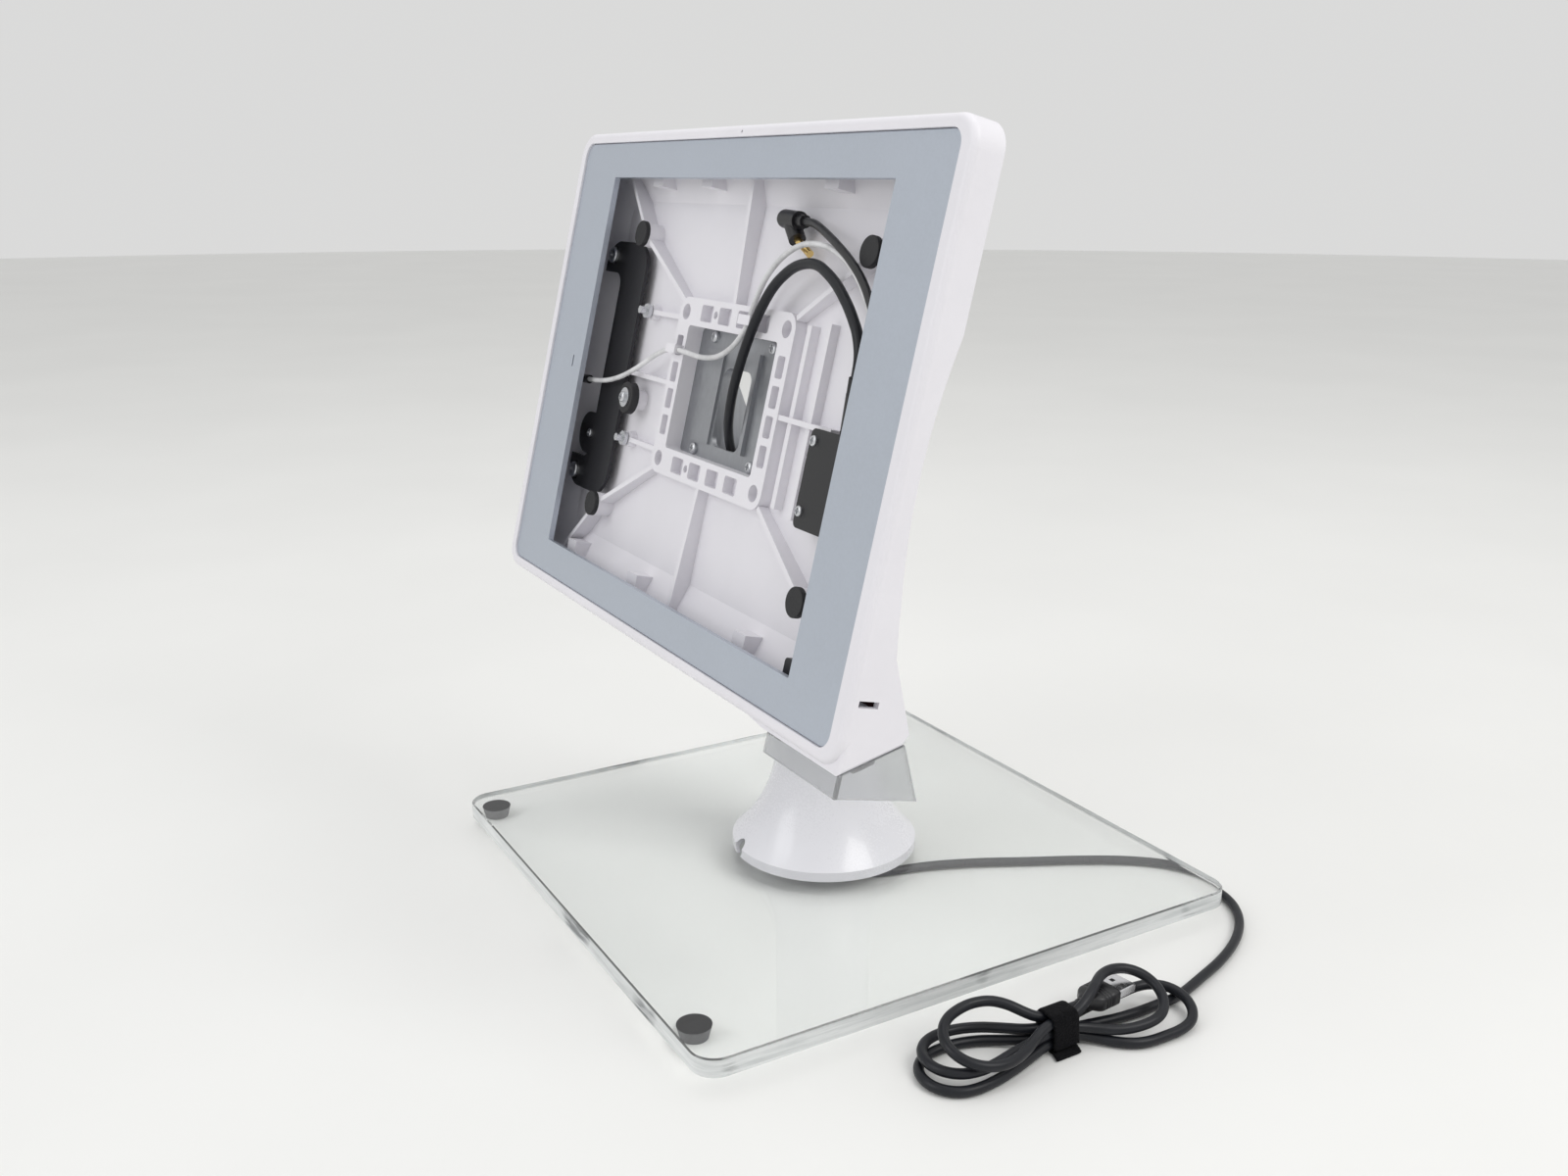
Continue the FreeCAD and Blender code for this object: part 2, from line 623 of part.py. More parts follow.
def shell_hull():
    front = slab(HEAD_W, HEAD_H, HEAD_CORNER, -RIM_PROUD, HEAD_SIDE_DEPTH)
    front = front.makeFillet(RIM_ROUND, edges_at_depth(front, -RIM_PROUD))
    taper = back_taper(HEAD_W, HEAD_H, HEAD_CORNER, HEAD_SIDE_DEPTH, BACK_W, BACK_H, HEAD_BACK_DEPTH)
    hull = fuse([front, taper]).cut(grip_cut()).cut(chin_wedge())
    return fuse([hull, chin_solid()])


def shell_cavity():
    w, h = HEAD_W - 2 * WALL, HEAD_H - 2 * WALL
    corner = HEAD_CORNER - WALL
    side_floor = HEAD_SIDE_DEPTH - FLOOR
    rebate = slab(PANEL_W + 2 * PANEL_GAP, PANEL_H + 2 * PANEL_GAP, PANEL_CORNER + PANEL_GAP,
                  -RIM_PROUD - 1, LEDGE_TOP)
    through = slab(PANEL_W - 2 * LEDGE, PANEL_H - 2 * LEDGE, PANEL_CORNER, LEDGE_TOP - 0.5, CAVITY_TOP + 0.5)
    room = slab(w, h, corner, CAVITY_TOP, side_floor)
    deep = back_taper(w, h, corner, side_floor, BACK_W - 2 * FLOOR, BACK_H - 2 * FLOOR, FLOOR_IN)
    grip_fill = box(RIGHT - 21.5, CAVITY_TOP + 0.6, GRIP_LOW[1] - 3, RIGHT + 5, 40, GRIP_TOP[1] + 3)
    return rebate, through, fuse([room, deep]).cut(grip_fill)


def ladder():
    """Frame round the window, with a ring at each mount hole and pockets between."""
    frame = slab(LADDER_W, LADDER_H, 8, LADDER_FRONT, FLOOR_IN + 0.5, MIDDLE)
    cuts = []
    bar_x = (LADDER_W + WINDOW_W) / 4
    bar_z = (LADDER_H + WINDOW_H) / 4
    for i in range(4):
        z = (i - 1.5) * 13.6
        x = (i - 1.5) * 18.6
        for side in (-1, 1):
            cuts.append(slab(6.4, 10.2, 1.2, LADDER_FRONT - 1, FLOOR_IN - 0.6, MIDDLE + side * bar_x, z))
            cuts.append(slab(12.0, 8.2, 1.2, LADDER_FRONT - 1, FLOOR_IN - 0.6, MIDDLE + x, side * bar_z))
    for side in (-1, 1):
        cuts.append(along(1.9, MIDDLE - 18.6, side * bar_z, LADDER_FRONT - 1, LADDER_FRONT + 3))
    return frame, cuts


def mount_places():
    return [(MIDDLE + sx * MOUNT_W / 2, sz * MOUNT_H / 2) for sx in (-1, 1) for sz in (-1, 1)]


def rib(x0, z0, x1, z1, top0, top1, thick=RIB):
    """Upright rib on the floor from one point to another; its top may slope."""
    run = V(x1 - x0, 0, z1 - z0)
    side = V(-run.z, 0, run.x)
    side.normalize()
    side = side * (thick / 2)
    start = V(x0, 0, z0)
    end = V(x1, 0, z1)
    foot = FLOOR_IN + 0.5
    outline = [V(start.x, top0, start.z), V(end.x, top1, end.z), V(end.x, foot, end.z), V(start.x, foot, start.z)]
    outline = [p - side for p in outline]
    return Part.Face(Part.makePolygon(outline + [outline[0]])).extrude(side * 2)


def shell_ribs():
    half_w = LADDER_W / 2 - 2
    half_h = LADDER_H / 2 - 2
    post = TABLET_DEPTH + BUMPER_THICK
    made = []
    for sx in (-1, 1):
        for sz in (-1, 1):
            bx, bz = MIDDLE + sx * BUMPER_X, sz * BUMPER_Z
            made.append(rib(MIDDLE + sx * half_w, sz * half_h, bx, bz, LADDER_FRONT + 0.6, post + 0.4))
            made.append(rib(bx, bz, bx + sx * 42, sz * (HEAD_H / 2 - 9), post + 1, 12.2))
            made.append(along(BUMPER_D / 2 - 0.4, bx, bz, post, FLOOR_IN + 0.5))
    made.append(rib(MIDDLE - 3, half_h, MIDDLE - 3, HEAD_H / 2 - 5, LADDER_FRONT + 0.4, 11.8, 3.0))
    made.append(rib(MIDDLE - 3, -half_h, MIDDLE - 3, -HEAD_H / 2 + 5, LADDER_FRONT + 0.4, 11.8, 3.0))
    for z, reach in ((STUD_Z, STUD_X + 3), (0.6, STUD_X - 12), (-STUD_Z, STUD_X + 3)):
        made.append(rib(MIDDLE + reach, z, MIDDLE - half_w, z, LADDER_FRONT + 1.2, LADDER_FRONT + 0.6))
    made.append(rib(MIDDLE + half_w, -1.2, MIDDLE + 105, -1.2, LADDER_FRONT + 0.6, COVER_FRONT + 1.8))
    for x, half in ((66.5, 41.0), (82.0, 43.0)):
        made.append(rib(MIDDLE + x, -half, MIDDLE + x, half, LADDER_FRONT + 1.5, LADDER_FRONT + 1.5, 3.4))
    for sz in (-1, 1):
        made.append(along(4.2, MIDDLE + STUD_X, sz * STUD_Z, 17.0, FLOOR_IN + 0.5))
        made.append(along(4.6, MIDDLE + LATCH_SCREW_X, sz * LATCH_SCREW_Z, LATCH_FRONT + LATCH_THICK, FLOOR_IN + 0.5))
    made.append(along(3.6, MIDDLE + LATCH_PIN_X, LATCH_PIN_Z, LATCH_FRONT + LATCH_THICK, FLOOR_IN + 0.5))
    made.append(along(2.6, RIGHT - CHIN_WIDTH - 0.2, LOW + MODULE_UP + 7.5, MODULE_BACK, FLOOR_IN + 0.5))
    made.append(along(5.5, MIDDLE + CUSHION_X, CUSHION_Z, TABLET_DEPTH + 5.0, FLOOR_IN + 0.5))
    for z in COVER_SCREW_Z:
        made.append(along(3.0, MIDDLE + COVER_SCREW_X, z, COVER_FRONT + COVER_THICK, FLOOR_IN + 0.5))
    return made


def edge_tabs():
    """Rest pads along the top and bottom walls, level with the tablet's back."""
    tabs = []
    half = TAB_WIDTH / 2
    for x in (-101.0, -45.0, 71.0):
        tabs.append(box(MIDDLE + x - half, TABLET_DEPTH + 0.4, HEAD_H / 2 - TAB_REACH,
                        MIDDLE + x + half, 20.5, HEAD_H / 2 - 2))
    for x in (-124.0, -43.0, 72.0):
        tabs.append(box(MIDDLE + x - half, TABLET_DEPTH + 0.4, LOW + 2, MIDDLE + x + half, 20.5, LOW + TAB_REACH + 1))
    return tabs


def chin_window(half_long, half_wide, low, high):
    """Block across the chin's slanted underside, between two distances inwards."""
    (d0, z0), (d1, z1) = CHIN_FRONT, CHIN_HEEL
    middle = RIGHT - WINDOW_IN
    block = box(middle - half_long, -half_wide, low, middle + half_long, half_wide, high)
    block.rotate(V(0, 0, 0), V(1, 0, 0), math.degrees(math.atan2(z1 - z0, d1 - d0)))
    block.translate(V(0, d0 + (d1 - d0) * 0.52, z0 + (z1 - z0) * 0.52))
    return block


def hull_trim():
    """Everything outside the shell's floor line, used to trim ribs and posts."""
    taper = back_taper(HEAD_W - 2, HEAD_H - 2, HEAD_CORNER - 1, HEAD_SIDE_DEPTH - 0.6,
                       BACK_W - 1, BACK_H - 1, HEAD_BACK_DEPTH - 0.6)
    front = slab(HEAD_W - 2, HEAD_H - 2, HEAD_CORNER - 1, 4, HEAD_SIDE_DEPTH - 0.6)
    return fuse([front, taper])


def back_shell():
    shell = shell_hull()
    for room in shell_cavity():
        shell = shell.cut(room)
    frame, pockets = ladder()
    inner = fuse([frame] + shell_ribs() + edge_tabs()).common(hull_trim())
    shell = fuse([shell, inner])
    shell = shell.cut(chin_cavity())
    window = slab(WINDOW_W, WINDOW_H, 2.0, 0, HEAD_BACK_DEPTH + 1, MIDDLE)
    shell = shell.cut(Part.makeCompound(pockets)).cut(window)
    for x, z in mount_places():
        shell = shell.cut(along(4.0, x, z, LADDER_FRONT - 1, FLOOR_IN - 1))
        shell = shell.cut(along(MOUNT_SCREW_D / 2 + 0.05, x, z, 0, 30))
    for sz in (-1, 1):
        shell = shell.cut(along(1.45, MIDDLE + LATCH_SCREW_X, sz * LATCH_SCREW_Z, 10, FLOOR_IN))
    shell = shell.cut(along(1.25, MIDDLE + LATCH_PIN_X, LATCH_PIN_Z, 10, FLOOR_IN))
    for z in COVER_SCREW_Z:
        shell = shell.cut(along(1.25, MIDDLE + COVER_SCREW_X, z, 10, FLOOR_IN - 0.5))
    shell = shell.cut(along(1.55, MIDDLE + CUSHION_X, CUSHION_Z, 10, FLOOR_IN - 0.3))
    shell = shell.cut(along(0.7, MIDDLE + 2.7, HEAD_H / 2 - 3.4, -RIM_PROUD - 1, 4))
    shell = shell.cut(box(RIGHT - WALL - 3, 3.6, LOW + SLOT_UP, RIGHT + 1, 3.6 + SLOT_LENGTH,
                          LOW + SLOT_UP + SLOT_HEIGHT))
    shell = shell.cut(chin_window(WINDOW_LONG / 2, 7.0, -4.0, 6.0))
    for x, depth in hood_screw_places():
        shell = shell.cut(hood_bore(x, depth, 1.05, 1, -2.8))
    return shell


def front_panel():
    panel = slab(PANEL_W, PANEL_H, PANEL_CORNER, 0, PANEL_THICK)
    panel = panel.makeChamfer(0.3, edges_at_depth(panel, 0))
    panel = panel.cut(slab(OPENING_W, OPENING_H, 0.8, -1, PANEL_THICK + 1, MIDDLE))
    slit = slab(1.3, 6.5, 0.6, -1, PANEL_THICK + 1, MIDDLE - 145.2, -0.5)
    return panel.cut(slit)


def bumpers():
    pads = []
    for sx in (-1, 1):
        for sz in (-1, 1):
            pad = along(BUMPER_D / 2, MIDDLE + sx * BUMPER_X, sz * BUMPER_Z,
                        TABLET_DEPTH, TABLET_DEPTH + BUMPER_THICK)
            pads.append(pad.makeFillet(0.5, edges_at_depth(pad, TABLET_DEPTH)))
    return Part.makeCompound(pads)


def support_studs():
    seat = 17.0
    studs = [pan_screw(MIDDLE + STUD_X, sz * STUD_Z, seat - STUD_HEAD, STUD_HEAD_D, STUD_HEAD * 0.999, STUD_D,
                       3.6, -1) for sz in (-1, 1)]
    return Part.makeCompound(studs)


def cushion_stack():
    """Rubber cushion on its boss, with the washer and the screw through it."""
    x, z = MIDDLE + CUSHION_X, CUSHION_Z
    back = TABLET_DEPTH + 5.0
    cushion = along(CUSHION_D / 2, x, z, back - 4.2, back)
    cushion = cushion.makeFillet(0.8, edges_at_depth(cushion, back - 4.2)).cut(along(1.6, x, z, 0, 30))
    washer = along(5.2, x, z, back - 4.9, back - 4.2).cut(along(1.6, x, z, 0, 30))
    screw = pan_screw(x, z, back - 4.9, 5.6, 2.0, 3.0, 9.0)
    return cushion, washer, screw


def latch_bracket():
    x0, x1 = MIDDLE + LATCH_LEFT, MIDDLE + LATCH_RIGHT
    back = LATCH_FRONT + LATCH_THICK
    outer = slab(x1 - x0, 2 * LATCH_HALF, LATCH_CORNER, LATCH_FRONT, back, (x0 + x1) / 2)
    inner_h = 2 * (LATCH_HALF - LATCH_ARM)
    inner = slab(60, inner_h, 8, LATCH_FRONT - 1, back + 1, x1 - LATCH_WEB - 30)
    lobe = along(11.5, MIDDLE - 141.0, -38.0, LATCH_FRONT, back)
    web = box(MIDDLE - 141.0, LATCH_FRONT, -49.5, x1 - LATCH_WEB + 2, back, -26.5)
    bracket = fuse([outer.cut(inner), lobe, web])
    for sz in (-1, 1):
        bracket = bracket.cut(along(2.1, MIDDLE + LATCH_SCREW_X, sz * LATCH_SCREW_Z, 0, 30))
    return bracket.cut(along(1.3, MIDDLE + LATCH_PIN_X, LATCH_PIN_Z, 0, 30))


def latch_screws():
    screws = [pan_screw(MIDDLE + LATCH_SCREW_X, sz * LATCH_SCREW_Z, LATCH_FRONT, 9.0, 2.6, 2.8, 4.5)
              for sz in (-1, 1)]
    screws.append(pan_screw(MIDDLE + LATCH_PIN_X, LATCH_PIN_Z, LATCH_FRONT, 4.6, 1.6, 2.4, 4.0))
    return Part.makeCompound(screws)


def connector_cover():
    w = COVER_RIGHT - COVER_LEFT
    h = COVER_TOP - COVER_LOW
    cx, cz = MIDDLE + (COVER_LEFT + COVER_RIGHT) / 2, (COVER_TOP + COVER_LOW) / 2
    cover = slab(w, h, 3, COVER_FRONT, COVER_FRONT + COVER_THICK, cx, cz)
    side = box(MIDDLE + COVER_RIGHT - COVER_THICK, COVER_FRONT, COVER_LOW + 3,
               MIDDLE + COVER_RIGHT, 15.5, COVER_TOP - 3)
    cover = fuse([cover, side])
    for z in COVER_SCREW_Z:
        cover = cover.cut(along(1.7, MIDDLE + COVER_SCREW_X, z, 0, 30))
    return cover


def cover_screws():
    return Part.makeCompound([pan_screw(MIDDLE + COVER_SCREW_X, z, COVER_FRONT, 4.8, 1.5, 2.4, 6.0)
                              for z in COVER_SCREW_Z])


# --------------------------------------------------------------- scanner corner
def scan_module():
    """Black optics box behind the panel in the bottom right corner."""
    x, z = RIGHT - MODULE_IN, LOW + MODULE_UP
    body = slab(MODULE_W, MODULE_H, 2, MODULE_FRONT, MODULE_BACK, x, z)
    return body.cut(along(4.0, x + 10.5, z - 1.5, 6, MODULE_FRONT + 1.5))


def scan_mirror():
    """Mirror lying along the chin's slanted back wall."""
    (d0, z0), (d1, z1) = CHIN_ROOM_TOP, CHIN_ROOM_LOW
    run = math.hypot(d1 - d0, z1 - z0)
    step = ((d1 - d0) / run, (z1 - z0) / run)
    inward = (step[1], -step[0])
    corners = []
    for reach, off in ((4.0, 0.05), (23.0, 0.05), (23.0, 1.65), (4.0, 1.65)):
        corners.append((CHIN_LEFT + WALL + 0.3, d0 + step[0] * reach + inward[0] * off,
                        z0 + step[1] * reach + inward[1] * off))
    return prism(corners, (RIGHT - CHIN_LEFT - 2 * WALL - 0.6, 0, 0))


def scan_window():
    return chin_window(WINDOW_LONG / 2 - 0.1, 6.9, 0.4, 2.0)


def chin_low_at(depth):
    """Height of the chin's underside at one depth."""
    (d0, z0), (d1, z1) = CHIN_FRONT, CHIN_HEEL
    return z0 + (z1 - z0) * (depth - d0) / (d1 - d0)


def scan_hood():
    """Clear skirt: a front wall and a right side wall, bent from one sheet."""
    gap = 0.05
    outer = RIGHT
    inner = RIGHT - HOOD_THICK
    front = CHIN_FRONT[0] + 0.2
    side = prism([(inner, front, chin_low_at(front) - gap),
                  (inner, CHIN_HEEL[0], CHIN_HEEL[1] - gap),
                  (inner, HOOD_BACK_TOP, CHIN_HEEL[1] + 0.3),
                  (inner, HOOD_BACK_LOW, HOOD_LOW),
                  (inner, front, HOOD_LOW)], (HOOD_THICK, 0, 0))
    back = front + HOOD_THICK
    wall = prism([(HOOD_LEFT, front, chin_low_at(front) - gap),
                  (HOOD_LEFT, back, chin_low_at(back) - gap),
                  (HOOD_LEFT, back, HOOD_LOW),
                  (HOOD_LEFT, front, HOOD_LOW)], (outer - HOOD_LEFT, 0, 0))
    tabs = [hood_tab(inner - 8, inner + 0.5, 9.5, 18.5), hood_tab(HOOD_LEFT, HOOD_LEFT + 9, back - 0.5, back + 6)]
    hood = fuse([side, wall] + tabs)
    for x, depth in hood_screw_places():
        hood = hood.cut(hood_bore(x, depth, 1.2, HOOD_TAB + 5, -1))
    return hood


def hood_tab(x0, x1, d0, d1):
    """Flat tab of the hood lying against the chin's underside."""
    gap = 0.05
    low = math.cos(math.atan2(CHIN_HEEL[1] - CHIN_FRONT[1], CHIN_HEEL[0] - CHIN_FRONT[0]))
    corners = [(x0, d0, chin_low_at(d0) - gap), (x0, d1, chin_low_at(d1) - gap),
               (x0, d1, chin_low_at(d1) - gap - HOOD_TAB / low), (x0, d0, chin_low_at(d0) - gap - HOOD_TAB / low)]
    return prism(corners, (x1 - x0, 0, 0))


def hood_screw_places():
    """Screw centres on the chin's underside, as (x, depth)."""
    return ((RIGHT - HOOD_THICK - 4.2, 14.0), (HOOD_LEFT + 4.5, CHIN_FRONT[0] + 7.0))


def under_chin(x, depth, out):
    """A point straight out of the chin's slanted underside."""
    (d0, z0), (d1, z1) = CHIN_FRONT, CHIN_HEEL
    slope = math.atan2(z1 - z0, d1 - d0)
    return (x, depth + out * math.sin(slope), chin_low_at(depth) - out * math.cos(slope))


def hood_bore(x, depth, radius, start, end):
    return rod(radius, under_chin(x, depth, start), under_chin(x, depth, end))


def hood_screws():
    screws = []
    seat = HOOD_TAB + 0.05
    for x, depth in hood_screw_places():
        head = hood_bore(x, depth, 2.1, seat + 1.4, seat)
        shank = hood_bore(x, depth, 1.0, seat, -2.4)
        screws.append(fuse([head, shank]))
    return Part.makeCompound(screws)


# --------------------------------------------------------------------- brackets
def cable_slot(d0, d1):
    height = CABLE_SLOT_TOP - CABLE_SLOT_LOW
    return slab(CABLE_SLOT_W, height, 5, d0, d1, MIDDLE, (CABLE_SLOT_TOP + CABLE_SLOT_LOW) / 2)


def mount_plate():
    plate = slab(LADDER_W + 4, LADDER_H + 4, 6, HEAD_BACK_DEPTH, BRACKET_BACK, MIDDLE)
    plate = plate.cut(cable_slot(0, 40))
    lip = box(MIDDLE + 18.5, HEAD_BACK_DEPTH - 2.2, -24, MIDDLE + 20.7, HEAD_BACK_DEPTH + 1, 24)
    guard = box(MIDDLE - 34, HEAD_BACK_DEPTH - 1.2, -24, MIDDLE - 15.5, HEAD_BACK_DEPTH + 0.5, 22)
    plate = fuse([plate, lip, guard])
    for x, z in mount_places():
        plate = plate.cut(along(MOUNT_SCREW_D / 2 + 0.3, x, z, 0, 40))
    for x, z in bracket_screw_places():
        plate = plate.cut(along(1.7, x, z, 0, 40))
    return plate


def bracket_screw_places():
    return [(MIDDLE + sx * BRACKET_SCREW_X, sz * BRACKET_SCREW_Z) for sx in (-1, 1) for sz in (-1, 1)]


def clevis():
    """Steel U: a base on the mount plate and two ears back to the tilt pin."""
    pin_d, pin_z = pivot_in_head()
    inner = KNUCKLE_HALF + WASHER_THICK
    base = slab(72, 72, 6, BRACKET_BACK, BRACKET_BACK + CLEVIS_THICK, MIDDLE)
    base = base.cut(cable_slot(0, 60))
    half = CABLE_SLOT_W / 2
    base = base.cut(box(MIDDLE - half, 20, -40, MIDDLE + half, 40, 0))
    parts = [base]
    for side in (-1, 1):
        x0, x1 = sorted((side * inner, side * (inner + EAR_THICK)))
        ear = prism([(x0, BRACKET_BACK + 0.5, 26.0), (x0, pin_d, pin_z + EAR_R), (x0, pin_d, pin_z - EAR_R),
                     (x0, BRACKET_BACK + 0.5, -34.0)], (x1 - x0, 0, 0))
        tip = rod(EAR_R, (x0, pin_d, pin_z), (x1, pin_d, pin_z))
        parts += [ear, tip]
    shape = fuse(parts)
    shape = shape.cut(rod(PIN_D / 2 + 0.02, (-60, pin_d, pin_z), (60, pin_d, pin_z)))
    for x, z in bracket_screw_places():
        shape = shape.cut(along(1.55, x, z, 0, 40))
    return shape


def bracket_screws():
    screws = [pan_screw(x, z, HEAD_BACK_DEPTH, 5.6, 2.0, 3.0, BRACKET_PLATE + CLEVIS_THICK + 1.5)
              for x, z in bracket_screw_places()]
    return Part.makeCompound(screws)


def mount_screws():
    screws = [pan_screw(x, z, BRACKET_BACK, 7.6, 2.6, MOUNT_SCREW_D, BRACKET_PLATE + 3.2, -1)
              for x, z in mount_places()]
    return Part.makeCompound(screws)


# ----------------------------------------------------------------- inner cables
# route of the lead inside the head, round the middle of the opening, as (x, depth, z)
USB_ROUTE = ((0.5, 28.3, -21.5), (5.5, 20.5, -11.0), (12.5, 15.6, 6.0), (21.5, 12.4, 25.0), (30.0, 10.8, 41.5),
             (41.0, 9.6, 55.5), (57.0, 9.0, 65.0), (74.0, 9.0, 67.0), (92.0, 9.0, 60.0), (106.5, 9.0, 50.0),
             (116.5, 9.1, 40.5), (121.2, 9.4, 31.5), (118.85, 11.5, 22.7))
USB_AIM = (-0.25, 0.225, -0.94)      # direction of the plug at the end of that lead
SLEEVE_LENGTH = 7.0
CONNECTOR_LENGTH = 22.5


def lead_shift(points):
    """Points given round the middle of the opening, moved to the head's frame."""
    return [(x + MIDDLE, d, z) for x, d, z in points]


def seam_in_head(radius):
    """Where the lead crosses a radius round the tilt axis, in the head's frame."""
    (y0, z0), (y1, z1) = NECK_LEAD[0], NECK_LEAD[1]
    run = math.hypot(y0 - y1, z0 - z1)
    step_y, step_z = (y0 - y1) / run, (z0 - z1) / run
    along_run = -(y0 * step_y + z0 * step_z)
    near = math.sqrt(y0 ** 2 + z0 ** 2 - along_run ** 2)
    shift = along_run + math.sqrt(radius ** 2 - near ** 2)
    y = PIVOT_Y + y0 + step_y * shift - HEAD_Y
    z = PIVOT_Z + z0 + step_z * shift - HEAD_Z
    lean = math.radians(REST_TILT)
    return (0.0, y * math.cos(lean) - z * math.sin(lean), y * math.sin(lean) + z * math.cos(lean))


def usb_lead():
    """From the seam through the slot of the bracket and round to the connector."""
    points = [seam_in_head(SEAM_R - 3), seam_in_head(SEAM_R + 9)] + lead_shift(USB_ROUTE[1:])
    lead = cable(points, USB_D, "usb_lead")
    pin_d, pin_z = pivot_in_head()
    return lead.cut(rod(SEAM_R + SEAM_GAP, (-30, pin_d, pin_z), (30, pin_d, pin_z)))


def plug_end(reach):
    x, d, z = lead_shift(USB_ROUTE[-1:])[0]
    size = math.sqrt(sum(a * a for a in USB_AIM))
    return (x + USB_AIM[0] / size * reach, d + USB_AIM[1] / size * reach, z + USB_AIM[2] / size * reach)


def usb_sleeve():
    return rod(USB_D / 2 + 0.75, plug_end(0.02), plug_end(SLEEVE_LENGTH - 0.02))


def usb_connector():
    """Slim overmould that dips behind the connector cover."""
    return rod(3.2, plug_end(SLEEVE_LENGTH), plug_end(SLEEVE_LENGTH + CONNECTOR_LENGTH))


AUDIO_PLUG_FROM = (33.0, 13.6, 85.5)
AUDIO_PLUG_TO = (52.0, 12.6, 84.5)


def audio_lead():
    points = lead_shift([AUDIO_PLUG_TO, (60.0, 12.18, 84.08), (71.0, 10.4, 81.2), (86.0, 8.2, 76.2),
                         (101.0, 8.0, 69.5), (115.0, 7.6, 61.0), (126.0, 7.4, 50.5), (134.0, 7.4, 38.0),
                         (139.5, 8.6, 25.0), (141.0, 12.0, 12.0), (140.0, 16.0, 1.0), (139.0, 18.0, -9.0)])
    return cable(points, AUDIO_D, "audio_lead")


def audio_plug():
    """Right-angle plug: a barrel along the lead and a short barrel to the tip."""
    a, b, c = lead_shift([AUDIO_PLUG_FROM, AUDIO_PLUG_TO, (46.0, 14.0, 76.6)])
    sleeve_end = lead_shift([(57.5, 15.0, 71.0)])[0]
    long_part = rod(4.2, a, (a[0] + (b[0] - a[0]) * 0.72, a[1] + (b[1] - a[1]) * 0.72, a[2] + (b[2] - a[2]) * 0.72))
    neck_part = rod(2.9, a, b)
    knee = Part.makeSphere(4.2, V(*a))
    turn = rod(3.9, (a[0] + 5, a[1] + 0.2, a[2] - 1), c)
    body = fuse([long_part, neck_part, knee, turn])
    tip = rod(1.75, c, sleeve_end)
    return body, tip.cut(body)


def white_lead():
    points = lead_shift([(-141.0, 10.0, -8.8), (-130.0, 10.0, -8.2), (-117.0, 10.2, -6.6), (-102.0, 11.0, -2.6),
                         (-86.0, 12.2, 4.6), (-70.0, 12.9, 13.2), (-54.0, 13.1, 18.4), (-37.0, 13.3, 17.6),
                         (-19.0, 13.4, 16.6), (-3.0, 13.4, 19.0), (10.0, 13.2, 25.6), (18.5, 13.0, 35.0),
                         (22.0, 12.6, 47.0), (29.0, 11.6, 58.6), (41.0, 10.6, 68.0), (56.0, 10.2, 74.4),
                         (72.0, 10.2, 75.2), (87.0, 10.2, 72.4), (101.0, 10.2, 66.4), (113.0, 10.2, 57.6),
                         (122.5, 10.6, 46.0),
                         (129.0, 11.2, 34.0), (131.5, 12.4, 22.5), (131.0, 15.0, 11.5), (130.0, 17.0, 1.0),
                         (129.5, 17.8, -9.0)])
    return cable(points, WHITE_D, "white_lead")


def white_plug():
    start, end = lead_shift([(-152.0, 10.0, -9.4), (-141.0, 10.0, -8.8)])
    return rod(2.4, start, end)


def cable_clips():
    """Two small clips snapped over the ladder's bars, holding the white lead."""
    clips = []
    for x, z, w, h in ((-50.7, 18.2, 10.0, 4.6), (18.2, 38.2, 11.0, 4.6)):
        x += MIDDLE
        body = box(x - w / 2, 10.6, z - h / 2, x + w / 2, LADDER_FRONT - 0.05, z + h / 2)
        clips.append(body)
    path = white_lead()
    room = [clip.cut(thick_copy(path)) for clip in clips]
    return Part.makeCompound(room)


def thick_copy(path):
    return path.makeOffsetShape(0.15, 0.01)


# ------------------------------------------------------------- free cord outside
def cord_points():
    """Route of the lead under the plate, round its corner and into the hank."""
    z = USB_D / 2 + 0.1
    return [(0.0, 0.0, PLATE_TOP), (0.0, 0.0, 8.4), (6.4, -0.6, z + 0.3), (16.0, -1.6, z), (27.0, 0.5, z),
            (35.5, 8.0, z), (39.0, 21.5, z), (43.5, 41.0, z), (53.4, 65.5, z), (66.2, 89.3, z), (77.7, 113.0, z),
            (91.0, 136.0, z), (106.5, 154.0, z), (125.5, 163.0, z), (144.5, 161.0, z), (161.0, 150.5, z),
            (174.5, 133.5, z), (184.5, 113.0, z), (191.5, 91.0, z), (197.9, 70.3, z)]


def cable_run():
    return cable(cord_points(), USB_D, "cable_run")


HANK_X = 196.0
HANK_Y = -1.0
HANK_LOBES = ((-5.0, -36.0, 20.0, 31.0, 19.0), (0.5, 37.0, 23.5, 33.5, 16.0))
WAIST_HALF = 4.9
WAIST_TALL = 14.6
WAIST_ROUND = 2.6
STRAP_WIDTH = 14.0
STRAP_THICK = 1.7


def cable_hank():
    """Outer shape of the folded cable: two flat lobes and a strapped waist, the plug let into the rear one."""
    half = STRAP_WIDTH / 2
    parts = []
    for dx, dy, rx, ry, tall in HANK_LOBES:
        centre = V(HANK_X + dx, HANK_Y + dy, 0)
        ring = Part.Ellipse(centre + V(0, ry, 0), centre + V(rx, 0, 0), centre).toShape()
        lobe = Part.Face(Part.Wire([ring])).extrude(V(0, 0, tall))
        parts.append(lobe.cut(box(HANK_X - 60, HANK_Y - half - 1, -1, HANK_X + 60, HANK_Y + half + 1, 60)))
    parts.append(rounded_bar(WAIST_HALF - 0.05, half + 4, 0.05))
    return fuse(parts).cut(plug_room())


